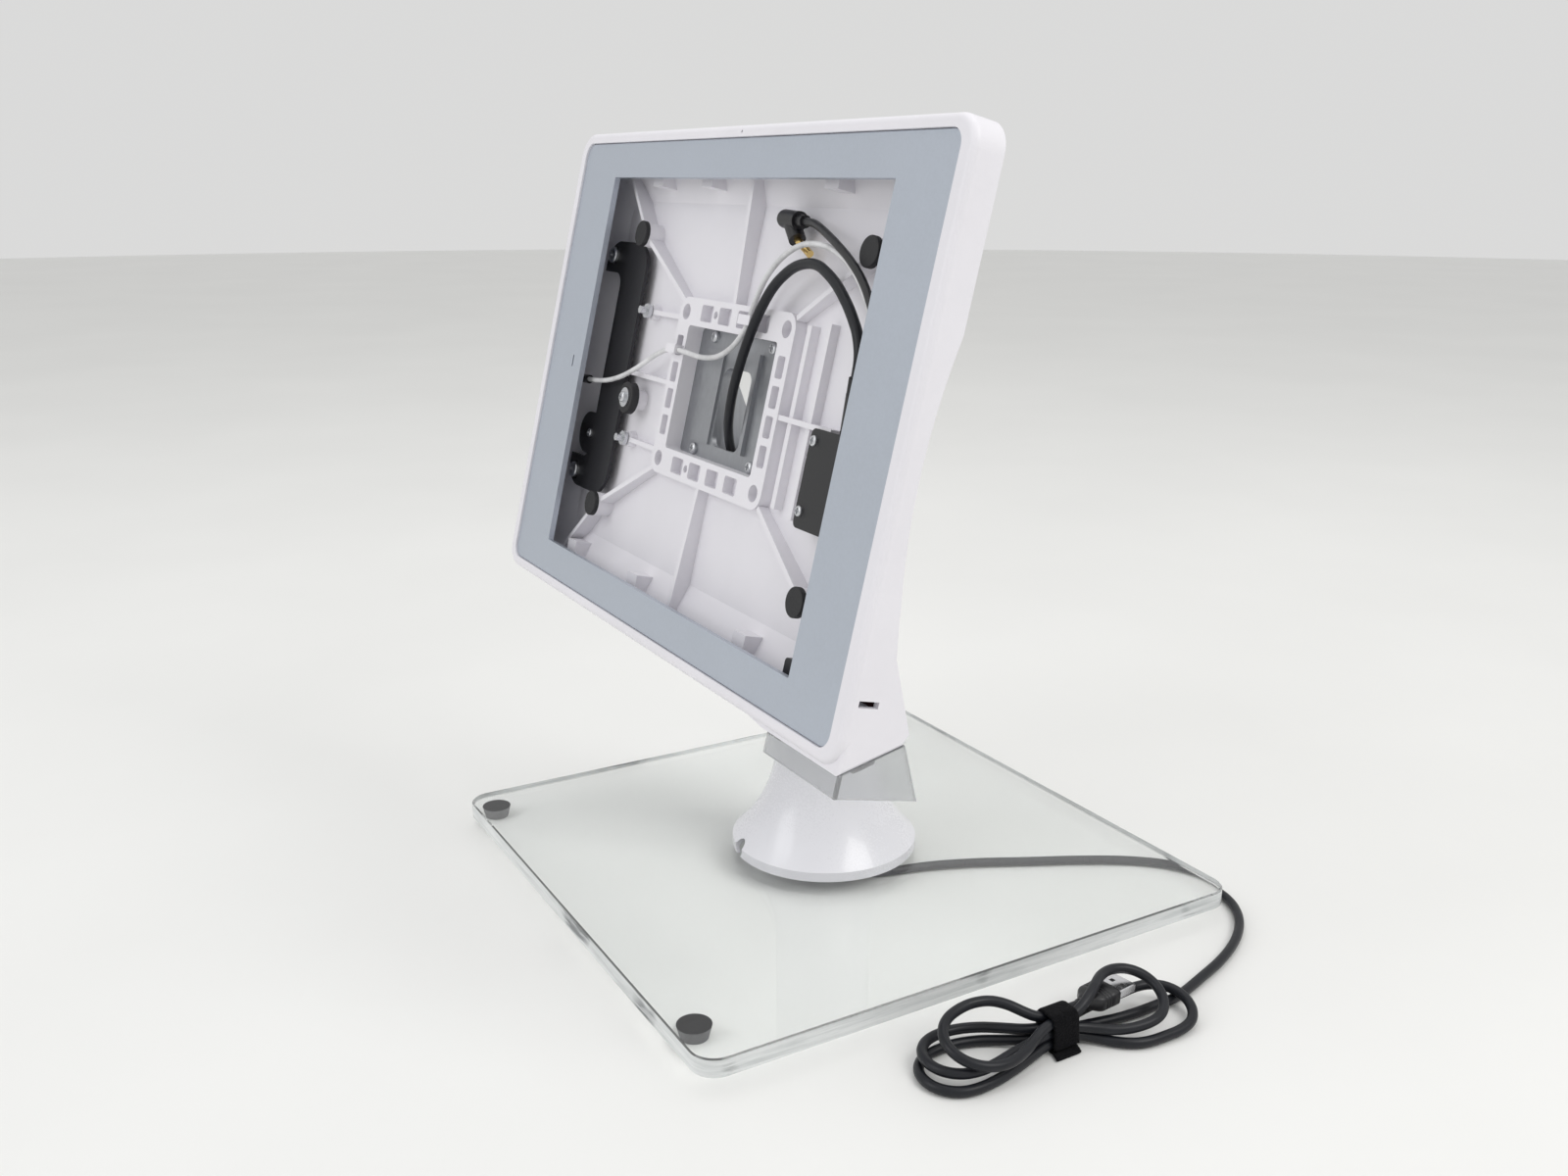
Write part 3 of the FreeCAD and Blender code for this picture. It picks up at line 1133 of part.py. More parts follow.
def rounded_bar(half_x, half_y, inset):
    low = STRAP_THICK + 0.1 + inset
    bar = box(HANK_X - half_x, HANK_Y - half_y, low, HANK_X + half_x, HANK_Y + half_y, low + WAIST_TALL - 2 * inset)
    return bar.makeFillet(WAIST_ROUND - inset, [e for e in bar.Edges if e.BoundBox.YLength > half_y])


def strap_band(grow):
    """The space inside the strap, grown outwards."""
    half = STRAP_WIDTH / 2
    low = STRAP_THICK + 0.1 - grow
    band = box(HANK_X - WAIST_HALF - grow, HANK_Y - half, low,
               HANK_X + WAIST_HALF + grow, HANK_Y + half, STRAP_THICK + 0.1 + WAIST_TALL + grow)
    long_edges = [e for e in band.Edges if e.BoundBox.YLength > half]
    return band.makeFillet(WAIST_ROUND + grow, long_edges)


def hank_strap():
    return strap_band(STRAP_THICK).cut(strap_band(0.0))


PLUG_WIDTH = 15.0
PLUG_HEIGHT = 8.0
PLUG_LENGTH = 21.0
SHELL_WIDTH = 12.0
SHELL_HEIGHT = 4.5
SHELL_LENGTH = 12.0
PLUG_AHEAD = 14.0


def plug_frame():
    """Place and direction of the plug, lying in the rear loops of the hank behind the strap."""
    top_row = STRAP_THICK + 0.1 + WAIST_TALL - USB_D / 2 - 0.15
    return V(HANK_X - USB_D / 2, HANK_Y + PLUG_AHEAD, top_row), V(-0.17, 0.985, 0)


def plug_block(width, start, end, low, high, corner=0):
    """A block in line with the plug, from start to end along it."""
    place, direction = plug_frame()
    block = box(-width / 2, start, low, width / 2, end, high)
    if corner:
        block = block.makeFillet(corner, [e for e in block.Edges if e.BoundBox.YLength > 1])
    block.rotate(V(0, 0, 0), V(0, 0, 1), -math.degrees(math.atan2(direction.x, direction.y)))
    block.translate(place)
    return block


def usb_plug():
    return plug_block(PLUG_WIDTH, 0.0, PLUG_LENGTH, -PLUG_HEIGHT / 2, PLUG_HEIGHT / 2, 2.0)


def plug_shell():
    end = PLUG_LENGTH + SHELL_LENGTH
    shell = plug_block(SHELL_WIDTH, PLUG_LENGTH, end, -SHELL_HEIGHT / 2, SHELL_HEIGHT / 2, 0.4)
    return shell.cut(plug_block(SHELL_WIDTH - 0.8, PLUG_LENGTH + 1, end + 1, -1.0, 1.0))


def plug_room():
    """Space that the plug takes from the hank, open at the top."""
    body = plug_block(PLUG_WIDTH + 0.1, -0.05, PLUG_LENGTH + 0.05, -PLUG_HEIGHT / 2 - 0.05, 40.0)
    shell = plug_block(SHELL_WIDTH + 0.1, 0.0, PLUG_LENGTH + SHELL_LENGTH + 0.05, -SHELL_HEIGHT / 2 - 0.05, 40.0)
    return body.fuse(shell)


# ------------------------------------------------------------------------ build
def save(name, shape):
    shape.exportStep(os.path.join("parts", name + ".step"))
    low = shape.BoundBox
    print("%-18s solids %d valid %s  x %.1f..%.1f y %.1f..%.1f z %.1f..%.1f" % (
        name, len(shape.Solids), shape.isValid(), low.XMin, low.XMax, low.YMin, low.YMax, low.ZMin, low.ZMax))


def main():
    os.makedirs("parts", exist_ok=True)
    cushion, washer, cushion_screw = cushion_stack()
    plug_body, plug_tip = audio_plug()
    stand = {
        "base_plate": base_plate(), "feet": feet(), "disc_screws": disc_screws(), "base_disc": base_disc(),
        "disc_grommet": disc_grommet(), "column_tube": column_tube(), "pedestal": pedestal(),
        "swivel_bush": swivel_bush(), "swivel_ring": swivel_ring(), "neck": neck(), "tilt_pin": tilt_pin(),
        "friction_washers": friction_washers(), "pin_nuts": pin_nuts(),
        "lead_in_neck": lead_in_neck(),
        "lead_in_column": rod(USB_D / 2, (0, 0, NECK_LOW - 0.05), (0, 0, PLATE_TOP)),
        "cable_run": cable_run(), "cable_hank": cable_hank(), "hank_strap": hank_strap(),
        "usb_plug": usb_plug(), "plug_shell": plug_shell(),
    }
    head = {
        "back_shell": back_shell(), "front_panel": front_panel(), "bumpers": bumpers(),
        "support_studs": support_studs(), "cushion": cushion, "cushion_washer": washer,
        "cushion_screw": cushion_screw, "latch_bracket": latch_bracket(), "latch_screws": latch_screws(),
        "connector_cover": connector_cover(), "cover_screws": cover_screws(), "scan_module": scan_module(),
        "scan_mirror": scan_mirror(), "scan_window": scan_window(), "scan_hood": scan_hood(),
        "hood_screws": hood_screws(), "mount_plate": mount_plate(), "mount_screws": mount_screws(),
        "clevis": clevis(), "bracket_screws": bracket_screws(), "usb_lead": usb_lead(),
        "usb_sleeve": usb_sleeve(), "usb_connector": usb_connector(), "audio_lead": audio_lead(),
        "audio_plug": plug_body, "audio_tip": plug_tip, "white_lead": white_lead(), "white_plug": white_plug(),
        "cable_clips": cable_clips(),
    }
    for name, shape in stand.items():
        save(name, shape)
    for name, shape in head.items():
        save(name, to_world(shape))


main()
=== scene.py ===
import math

import bmesh
import bpy
from mathutils import Matrix, Vector, noise


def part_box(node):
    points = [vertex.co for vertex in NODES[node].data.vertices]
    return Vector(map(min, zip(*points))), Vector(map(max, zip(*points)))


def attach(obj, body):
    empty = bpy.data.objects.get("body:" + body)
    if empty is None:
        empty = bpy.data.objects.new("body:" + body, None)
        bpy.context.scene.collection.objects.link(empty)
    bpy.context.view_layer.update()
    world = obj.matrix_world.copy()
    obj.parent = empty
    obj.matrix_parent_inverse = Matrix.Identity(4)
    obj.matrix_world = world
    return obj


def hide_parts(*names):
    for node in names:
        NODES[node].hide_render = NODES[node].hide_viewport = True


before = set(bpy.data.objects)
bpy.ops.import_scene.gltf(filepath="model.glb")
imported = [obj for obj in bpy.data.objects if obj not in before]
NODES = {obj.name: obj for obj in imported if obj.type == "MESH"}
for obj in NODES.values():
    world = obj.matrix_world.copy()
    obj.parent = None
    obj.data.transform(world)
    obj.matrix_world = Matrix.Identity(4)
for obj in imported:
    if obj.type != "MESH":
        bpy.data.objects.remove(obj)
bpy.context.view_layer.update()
MM = 0.001


def mm(points):
    return [Vector(p) * MM for p in points]


# ------------------------------------------------------------------ materials
class Graph:
    """A node tree with short calls for the few nodes used here."""

    def __init__(self, name):
        self.mat = bpy.data.materials.new(name)
        self.mat.use_nodes = True
        self.tree = self.mat.node_tree
        self.shader = self.tree.nodes["Principled BSDF"]
        self.coords = self.add("ShaderNodeTexCoord").outputs["Object"]

    def add(self, kind, **values):
        node = self.tree.nodes.new(kind)
        for key, value in values.items():
            setattr(node, key, value)
        return node

    def link(self, a, b):
        self.tree.links.new(a, b)

    def stretched(self, scale):
        node = self.add("ShaderNodeMapping")
        node.inputs["Scale"].default_value = scale
        self.link(self.coords, node.inputs["Vector"])
        return node.outputs["Vector"]

    def noise(self, scale, detail=4.0, rough=0.5, vector=None):
        node = self.add("ShaderNodeTexNoise")
        node.inputs["Scale"].default_value = scale
        node.inputs["Detail"].default_value = detail
        node.inputs["Roughness"].default_value = rough
        self.link(vector or self.coords, node.inputs["Vector"])
        return node.outputs["Fac"]

    def voronoi(self, scale, vector=None):
        node = self.add("ShaderNodeTexVoronoi")
        node.inputs["Scale"].default_value = scale
        self.link(vector or self.coords, node.inputs["Vector"])
        return node.outputs["Distance"]

    def wave(self, scale, axis="X", distortion=0.0, vector=None):
        node = self.add("ShaderNodeTexWave", bands_direction=axis)
        node.inputs["Scale"].default_value = scale
        node.inputs["Distortion"].default_value = distortion
        self.link(vector or self.coords, node.inputs["Vector"])
        return node.outputs["Fac"]

    def ramp(self, fac, stops):
        node = self.add("ShaderNodeValToRGB")
        elements = node.color_ramp.elements
        while len(elements) < len(stops):
            elements.new(0.5)
        for element, (place, colour) in zip(elements, stops):
            element.position = place
            element.color = (*colour, 1.0)
        self.link(fac, node.inputs["Fac"])
        return node.outputs["Color"]

    def span(self, fac, low, high, first=0.0, last=1.0):
        node = self.add("ShaderNodeMapRange")
        for key, value in (("From Min", first), ("From Max", last), ("To Min", low), ("To Max", high)):
            node.inputs[key].default_value = value
        self.link(fac, node.inputs["Value"])
        return node.outputs["Result"]

    def math(self, kind, a, b):
        node = self.add("ShaderNodeMath", operation=kind)
        for value, socket in ((a, node.inputs[0]), (b, node.inputs[1])):
            if isinstance(value, (int, float)):
                socket.default_value = value
            else:
                self.link(value, socket)
        return node.outputs[0]

    def blend(self, fac, a, b):
        node = self.add("ShaderNodeMix", data_type="RGBA")
        self.link(fac, node.inputs["Factor"])
        self.link(a, node.inputs["A"])
        self.link(b, node.inputs["B"])
        return node.outputs["Result"]

    def bump(self, height, strength, distance, after=None):
        node = self.add("ShaderNodeBump")
        node.inputs["Strength"].default_value = strength
        node.inputs["Distance"].default_value = distance
        self.link(height, node.inputs["Height"])
        if after is not None:
            self.link(after, node.inputs["Normal"])
        return node.outputs["Normal"]

    def colour(self, value):
        self.link(value, self.shader.inputs["Base Color"])

    def rough(self, value):
        self.link(value, self.shader.inputs["Roughness"])

    def normal(self, value):
        self.link(value, self.shader.inputs["Normal"])

    def set(self, **values):
        for key, value in values.items():
            self.shader.inputs[key.replace("_", " ")].default_value = value


def shade(colour, factor):
    return tuple(min(1.0, c * factor) for c in colour)


def moulded(name, colour, vary=0.05, rough=(0.35, 0.5), grain=1400.0, strength=0.15, blotch=18.0, **sockets):
    """Moulded plastic or powder coat: cloudy tone, fine grain and a little dust in the gloss."""
    g = Graph(name)
    cloud = g.noise(blotch, 5.0, 0.6)
    g.colour(g.ramp(cloud, [(0.3, shade(colour, 1.0 - vary)), (0.7, shade(colour, 1.0 + vary * 0.6))]))
    fine = g.noise(grain, 3.0, 0.6)
    g.rough(g.span(g.math("ADD", g.math("MULTIPLY", cloud, 0.6), g.math("MULTIPLY", fine, 0.4)), *rough, 0.25, 0.75))
    g.normal(g.bump(fine, strength, 0.0002))
    g.set(**sockets)
    return g.mat


def brushed(name, colour, direction=(30.0, 1500.0, 1500.0), rough=(0.22, 0.38), strength=0.1, vary=0.08, metal=1.0):
    """Metal with a fine drawn grain and faint handling marks."""
    g = Graph(name)
    lines = g.noise(1.0, 4.0, 0.6, g.stretched(direction))
    smear = g.noise(26.0, 5.0, 0.65)
    both = g.math("ADD", g.math("MULTIPLY", lines, 0.7), g.math("MULTIPLY", smear, 0.3))
    g.colour(g.ramp(both, [(0.3, shade(colour, 1.0 - vary)), (0.7, shade(colour, 1.0 + vary))]))
    g.rough(g.span(both, *rough, 0.3, 0.7))
    g.normal(g.bump(lines, strength, 0.0001))
    g.set(Metallic=metal)
    return g.mat


def acrylic():
    """Clear cast sheet: clean polished faces, and sawn edges with saw lines, their frosted tone painted brighter to
    stand for light from the surroundings, with a few painted dark glints (painted reflections).
    """
    g = Graph("acrylic_mat")
    normal = g.add("ShaderNodeSeparateXYZ")
    g.link(g.add("ShaderNodeNewGeometry").outputs["Normal"], normal.inputs[0])
    edge = g.span(g.math("ABSOLUTE", normal.outputs["Z"], 0.0), 1.0, 0.0, 0.3, 0.8)
    saw = g.noise(1.0, 5.0, 0.7, g.stretched((22.0, 22.0, 420.0)))
    painted_glint_patch = g.noise(13.0, 3.0, 0.55)
    clear = g.ramp(g.noise(6.0), [(0.35, (0.90, 0.915, 0.91)), (0.65, (0.93, 0.945, 0.94))])
    # Sawn edge colour: a whitish frosted tone, partly the real frosted edge and partly painted light standing for the
    # surroundings lighting the edge.
    frost_and_painted_light = g.ramp(saw, [(0.3, (0.60, 0.63, 0.63)), (0.6, (0.90, 0.92, 0.92))])
    # Painted glints: dark and pale streaks along the saw lines, painted reflections.
    painted_glints = g.ramp(saw, [(0.46, (0.10, 0.11, 0.12)), (0.56, (0.80, 0.82, 0.83))])
    # The painted glints show in patches; elsewhere the edge keeps the frosted tone with its painted light.
    sawn_edge_and_painted_light = g.blend(g.span(painted_glint_patch, 0.0, 0.85, 0.54, 0.6), frost_and_painted_light, painted_glints)
    g.colour(g.blend(edge, clear, sawn_edge_and_painted_light))
    haze = g.noise(34.0, 6.0, 0.7)
    g.rough(g.math("ADD", g.span(haze, 0.0, 0.03, 0.45, 0.8), g.math("MULTIPLY", edge, 0.2)))
    g.link(g.span(edge, 1.0, 0.16), g.shader.inputs["Transmission Weight"])
    g.normal(g.bump(g.math("MULTIPLY", saw, edge), 0.22, 0.0005))
    g.set(IOR=1.49)
    return g.mat


def clear_hood():
    """Smoke-clear moulded cover, slightly frosted on the inside and darker where a wall is seen edge on."""
    g = Graph("hood_mat")
    cloud = g.noise(20.0, 5.0, 0.6)
    facing = g.add("ShaderNodeLayerWeight")
    facing.inputs["Blend"].default_value = 0.35
    pale = g.ramp(cloud, [(0.3, (0.70, 0.71, 0.725)), (0.7, (0.78, 0.79, 0.80))])
    smoky = g.ramp(cloud, [(0.3, (0.30, 0.31, 0.33)), (0.7, (0.38, 0.39, 0.41))])
    g.colour(g.blend(facing.outputs["Facing"], pale, smoky))
    fine = g.noise(900.0, 3.0, 0.6)
    g.rough(g.span(g.math("ADD", g.math("MULTIPLY", cloud, 0.5), g.math("MULTIPLY", fine, 0.5)), 0.08, 0.2, 0.3, 0.7))
    g.normal(g.bump(fine, 0.04, 0.0002))
    g.set(IOR=1.46, Transmission_Weight=0.8)
    return g.mat


def glassy(name, colour, metal, rough):
    g = Graph(name)
    dust = g.noise(240.0, 6.0, 0.75)
    g.colour(g.ramp(dust, [(0.35, shade(colour, 0.92)), (0.7, colour)]))
    g.rough(g.span(dust, rough, rough + 0.12, 0.5, 0.85))
    g.normal(g.bump(g.noise(60.0), 0.02, 0.0002))
    g.set(Metallic=metal, IOR=1.5)
    return g.mat


def sheath(name, colour, rough=(0.3, 0.46), **sockets):
    """Soft extruded cable jacket: satin, with faint draw lines, lint and scuffs."""
    g = Graph(name)
    cloud = g.noise(70.0, 5.0, 0.65)
    lint = g.span(g.noise(1900.0, 2.0, 0.5), 0.0, 1.0, 0.62, 0.8)
    base = g.ramp(cloud, [(0.3, shade(colour, 0.8)), (0.72, shade(colour, 1.25))])
    scuff = g.ramp(cloud, [(0.3, shade(colour, 1.8)), (0.8, shade(colour, 2.4))])
    g.colour(g.blend(g.math("MULTIPLY", lint, 0.35), base, scuff))
    g.rough(g.span(cloud, *rough, 0.3, 0.7))
    g.normal(g.bump(g.noise(620.0, 4.0, 0.6), 0.12, 0.0003))
    g.set(**sockets)
    return g.mat


def hook_and_loop():
    """Brushed loop pile: matt black with curled fibres and a soft sheen."""
    g = Graph("hook_loop_mat")
    pile = g.noise(950.0, 6.0, 0.75)
    curl = g.voronoi(1300.0)
    both = g.math("ADD", g.math("MULTIPLY", pile, 0.6), g.math("MULTIPLY", curl, 0.4))
    g.colour(g.ramp(both, [(0.25, (0.0015, 0.0015, 0.002)), (0.7, (0.009, 0.009, 0.0105))]))
    g.rough(g.span(both, 0.85, 1.0, 0.2, 0.8))
    g.normal(g.bump(both, 0.9, 0.0009))
    g.set(Sheen_Weight=0.03, Sheen_Roughness=0.4, Specular_IOR_Level=0.08)
    return g.mat


WHITE = (0.75, 0.75, 0.785)
SLATE = (0.008, 0.009, 0.0125)
MATERIALS = {
    "acrylic": acrylic(),
    "foot_rubber": moulded("foot_mat", (0.07, 0.07, 0.075), 0.2, (0.55, 0.75), 900.0, 0.3),
    "steel": brushed("steel_mat", (0.62, 0.63, 0.65)),
    "bracket_steel": brushed("bracket_mat", (0.36, 0.37, 0.39), (900.0, 900.0, 60.0), (0.34, 0.5), 0.12, 0.12, 0.9),
    "housing": moulded("housing_mat", (0.80, 0.785, 0.825), 0.03, (0.36, 0.5), 1500.0, 0.14),
    "stand_white": moulded("stand_mat", WHITE, 0.025, (0.22, 0.34), 1100.0, 0.06, 14.0, Coat_Weight=0.3),
    "panel_silver": brushed("panel_mat", (0.49, 0.53, 0.595), (700.0, 700.0, 700.0), (0.36, 0.48), 0.1, 0.04, 0.62),
    "nylon": moulded("nylon_mat", (0.72, 0.71, 0.66), 0.05, (0.4, 0.55)),
    "black_rubber": moulded("rubber_mat", (0.018, 0.018, 0.02), 0.25, (0.55, 0.78), 900.0, 0.35),
    "black_steel": brushed("latch_mat", (0.03, 0.03, 0.034), (800.0, 800.0, 800.0), (0.35, 0.5), 0.1, 0.15, 0.4),
    "black_plastic": moulded("plug_mat", (0.011, 0.011, 0.013), 0.2, (0.3, 0.46), 1600.0, 0.22),
    "slate_sheath": sheath("slate_mat", SLATE, (0.32, 0.46), Specular_IOR_Level=0.35),
    "black_sheath": sheath("black_sheath_mat", (0.016, 0.016, 0.018)),
    "white_sheath": sheath("white_sheath_mat", (0.66, 0.66, 0.67), (0.35, 0.5)),
    "hook_loop": hook_and_loop(),
    "plated": brushed("plated_mat", (0.74, 0.74, 0.76), (300.0, 900.0, 900.0), (0.16, 0.3), 0.05),
    "gold": brushed("gold_mat", (0.86, 0.62, 0.25), (600.0, 600.0, 600.0), (0.18, 0.3), 0.05),
    "hood_clear": clear_hood(),
    "window": glassy("window_mat", (0.08, 0.03, 0.035), 0.0, 0.05),
    "mirror": glassy("mirror_mat", (0.88, 0.89, 0.91), 1.0, 0.02),
}
NODE_SLOTS = {
    "acrylic": "base_plate",
    "foot_rubber": "feet",
    "steel": "disc_screws base_disc column_tube swivel_ring tilt_pin pin_nuts support_studs cushion_washer"
             " cushion_screw latch_screws cover_screws hood_screws mount_screws bracket_screws",
    "bracket_steel": "mount_plate clevis",
    "housing": "back_shell cable_clips",
    "stand_white": "pedestal neck",
    "panel_silver": "front_panel",
    "nylon": "swivel_bush friction_washers",
    "black_rubber": "disc_grommet bumpers cushion usb_sleeve",
    "black_steel": "latch_bracket",
    "black_plastic": "usb_plug connector_cover scan_module usb_connector audio_plug white_plug",
    "slate_sheath": "lead_in_column lead_in_neck usb_lead cable_run cable_hank",
    "black_sheath": "audio_lead",
    "white_sheath": "white_lead",
    "hook_loop": "hank_strap",
    "plated": "plug_shell",
    "gold": "audio_tip",
    "hood_clear": "scan_hood",
    "window": "scan_window",
    "mirror": "scan_mirror",
}


def dress(obj, slot):
    obj.data.materials.clear()
    obj.data.materials.append(MATERIALS[slot])


for slot_name, members in NODE_SLOTS.items():
    for member in members.split():
        for place in NODES[member].material_slots:
            place.link = "OBJECT"
            place.material = MATERIALS[slot_name]


# Light goes through the clear pieces instead of leaving them in full shadow.
for clear_node in ("base_plate", "scan_hood"):
    NODES[clear_node].visible_shadow = False

# ----------------------------------------------------------------------- cord
LEAD = 4.7
LOW = LEAD / 2 + 0.1
ROUTE = [
    (0.0, 0.0, 15.5), (0.0, 0.0, 8.4), (6.4, -0.6, LOW + 0.3), (16.0, -1.6, LOW), (27.0, 0.5, LOW),
    (35.5, 8.0, LOW), (39.0, 21.5, LOW), (43.5, 41.0, LOW), (53.4, 65.5, LOW), (66.2, 89.3, LOW),
    (77.7, 113.0, LOW), (91.0, 136.0, LOW), (106.5, 154.0, LOW), (125.5, 163.0, LOW), (144.5, 161.0, LOW),
    (161.0, 150.5, LOW), (174.5, 133.5, LOW), (184.5, 113.0, LOW), (191.5, 91.0, LOW), (197.9, 70.3, LOW),
]
# Into the strap, then by turns a front loop and a rear loop, ending in the plug.
INTO_STRAP = [
    (197.8, 58, LOW), (198, 46, LOW), (197.3, 34, 2.55), (195.6, 22, 3.1), (194.3, 11, 3.8), (193.6, 2, 4.3),
    (193.6, -6, 4.3),
]
FRONT_LOW = [
    (191, -14, 3.8), (184.5, -22.5, 2.8), (179, -31.5, LOW), (176, -42, LOW), (176, -53.2, LOW),
    (178.1, -60.9, LOW), (183.8, -66.6, LOW), (191.5, -68.7, LOW), (199.2, -66.6, LOW), (204.9, -60.9, LOW),
    (207, -53.2, LOW), (206.4, -42, LOW), (203.8, -29.5, 2.6), (201, -18, 3.4), (198.9, -9, 4.2), (198.4, 0, 4.3),
]
REAR_LONG = [
    (199.2, 8, 3.9), (203.4, 14.2, 2.9), (209, 19, LOW), (214.6, 25.2, LOW), (217.6, 33, LOW), (218, 43, LOW),
    (218.2, 52.6, 2.7), (216.4, 60.3, 3.6), (210.8, 66, 5.0), (203, 68.1, 6.7), (195.2, 66, 7.7),
    (189.6, 60.3, 7.9), (187.5, 52.6, 7.6), (187.6, 42.5, 6.8), (187.2, 32, 6.4), (188, 23, 6.4),
    (190.2, 14.5, 7.2), (192.8, 6.5, 8.8), (193.6, -1, 9.1),
]
FRONT_UPPER = [
    (193.4, -8, 9.1), (190.6, -14.5, 8.9), (184.6, -21.5, 8.5), (178, -29.5, 8.0), (173.6, -39, 7.6),
    (172.4, -49, 7.4), (174.6, -56.8, 7.4), (180.2, -62.5, 7.4), (188, -64.6, 7.4), (195.8, -62.5, 7.4),
    (201.3, -56.8, 7.4), (203.2, -48.6, 7.3), (202.2, -39, 7.1), (200, -29, 7.2), (198.8, -18, 7.9),
    (198.4, -9, 8.9), (198.4, 0, 9.1),
]
REAR_TALL = [
    (199.8, 7, 8.6), (203.6, 13.5, 7.8), (208.6, 20.5, 7.2), (212, 29, 7.4), (213.6, 38.4, 8.4),
    (211.9, 46.2, 9.3), (206.8, 51.9, 11.4), (199.7, 54, 14.3), (192.6, 51.9, 17.2), (187.5, 46.2, 19.3),
    (185.8, 38.4, 20.2), (187.4, 31.2, 20.4), (191, 25.2, 20.5), (194.8, 19.6, 20.1), (197.6, 13, 17.6),
    (198.6, 7, 14.8), (198.4, 2, 13.9),
]
FRONT_RAISED = [
    (198.5, -5, 13.9), (199.6, -12, 13.4), (202.4, -19.6, 11.5), (205.8, -27.2, 10.6), (208.2, -34.8, 10.4),
    (208.7, -42.8, 10.9), (206.5, -50.4, 12.0), (201, -56.2, 13.8), (193.5, -58.4, 16.0), (186.1, -56.2, 18.2),
    (180.7, -50.4, 19.9), (178.4, -42.5, 20.9), (177.9, -34.5, 21.4), (180, -26.5, 21.4), (184.6, -20.5, 20.2),
    (189.6, -15.5, 17.6), (192.6, -10.5, 15.0), (193.6, -5, 13.95), (193.65, 1, 13.9), (193.65, 7, 13.9),
    (193.65, 13.6, 13.9),
]
CORD_POINTS = ROUTE + INTO_STRAP + FRONT_LOW + REAR_LONG + FRONT_UPPER + REAR_TALL + FRONT_RAISED


def cord_curve(name, points, width):
    data = bpy.data.curves.new(name, "CURVE")
    data.dimensions = "3D"
    spline = data.splines.new("NURBS")
    spline.points.add(len(points) - 1)
    for point, place in zip(spline.points, mm(points)):
        point.co = (*place, 1.0)
    spline.order_u = 3
    spline.use_endpoint_u = True
    spline.resolution_u = 10
    data.bevel_depth = width * MM / 2
    data.bevel_resolution = 6
    data.use_fill_caps = True
    obj = bpy.data.objects.new(name, data)
    bpy.context.scene.collection.objects.link(obj)
    return obj


def mesh_object(name, mesh_builder, slot, smooth=True):
    bm = mesh_builder if isinstance(mesh_builder, bmesh.types.BMesh) else mesh_builder()
    bmesh.ops.recalc_face_normals(bm, faces=bm.faces)
    data = bpy.data.meshes.new(name)
    bm.to_mesh(data)
    bm.free()
    for face in data.polygons:
        face.use_smooth = smooth
    obj = bpy.data.objects.new(name, data)
    bpy.context.scene.collection.objects.link(obj)
    dress(obj, slot)
    return obj


cord = cord_curve("free_cord", CORD_POINTS, LEAD)
dress(cord, "slate_sheath")
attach(cord, "stand")
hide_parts("cable_run", "cable_hank")


# ---------------------------------------------------------------------- strap
def strap_mesh():
    """Hook-and-loop band: one turn round the bundle, its end coming down over the tab at the bottom."""
    strap_lo, strap_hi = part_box("hank_strap")
    thick, width = 1.5 * MM, strap_hi.y - strap_lo.y
    left, right = strap_lo.x + thick / 2, strap_hi.x - thick / 2
    low, high = strap_lo.z + thick / 2 + 0.05 * MM, strap_hi.z - thick / 2
    bend = 3.2 * MM
    path = []

    def run(x, z):
        path.append(Vector((x, 0, z)))

    def corner(cx, cz, start, turns=6):
        for i in range(turns + 1):
            a = math.radians(start - 90 * i / turns)
            run(cx + bend * math.cos(a), cz + bend * math.sin(a))

    tab_end = right + 4.6 * MM
    run(tab_end, low)
    run(right + 2.4 * MM, low)
    run(right, low)
    run((left + right) / 2, low)
    corner(left + bend, low + bend, 270)
    run(left, (low + high) / 2)
    corner(left + bend, high - bend, 180)
    run((left + right) / 2, high)
    corner(right - bend, high - bend, 90)
    run(right + 0.15 * MM, high - 6 * MM)
    run(right + 0.35 * MM, (low + high) / 2)
    run(right + 0.6 * MM, low + 4.2 * MM)
    run(right + 0.9 * MM, low + 2.0 * MM)
    # resample at an even step for the pile
    dense = []
    for a, b in zip(path, path[1:]):
        steps = max(1, round((b - a).length / (0.55 * MM)))
        dense += [a.lerp(b, i / steps) for i in range(steps)]
    dense.append(path[-1])
    across = 26
    y_mid = (strap_lo.y + strap_hi.y) / 2
    bm = bmesh.new()
    rows = []
    for i, p in enumerate(dense):
        before, after = dense[max(0, i - 1)], dense[min(len(dense) - 1, i + 1)]
        along = (after - before).normalized()
        out = Vector((along.z, 0, -along.x))
        skew = 1.6 * MM * max(0.0, (p.x - right) / (tab_end - right)) if i < 20 else 0.0
        ring = []
        for side in (1, -1):
            for j in range(across + 1):
                t = j / across if side == 1 else 1 - j / across
                edge = abs(2 * t - 1) ** 10
                half = thick / 2 * (1 - 0.45 * edge)
                q = Vector((p.x, y_mid + (t - 0.5) * (width - 0.3 * MM) - skew, p.z)) + out * side * half
                if side == -1:
                    pass
                fuzz = noise.noise(q * 1700.0) * 0.22 + noise.noise(q * 600.0) * 0.12
                q += out * side * fuzz * MM * (1.0 if side == 1 else 0.3)
                q.y += noise.noise(q * 1400.0 + Vector((7, 3, 1))) * 0.2 * MM * edge
                q.z = max(q.z, 0.1 * MM)
                ring.append(bm.verts.new(q))
        rows.append(ring)
    count = len(rows[0])
    for a, b in zip(rows, rows[1:]):
        for j in range(count):
            bm.faces.new((a[j], a[(j + 1) % count], b[(j + 1) % count], b[j]))
    bm.faces.new(rows[0])
    bm.faces.new(list(reversed(rows[-1])))
    return bm


strap = mesh_object("hook_loop_strap", strap_mesh, "hook_loop")
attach(strap, "stand")
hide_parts("hank_strap")


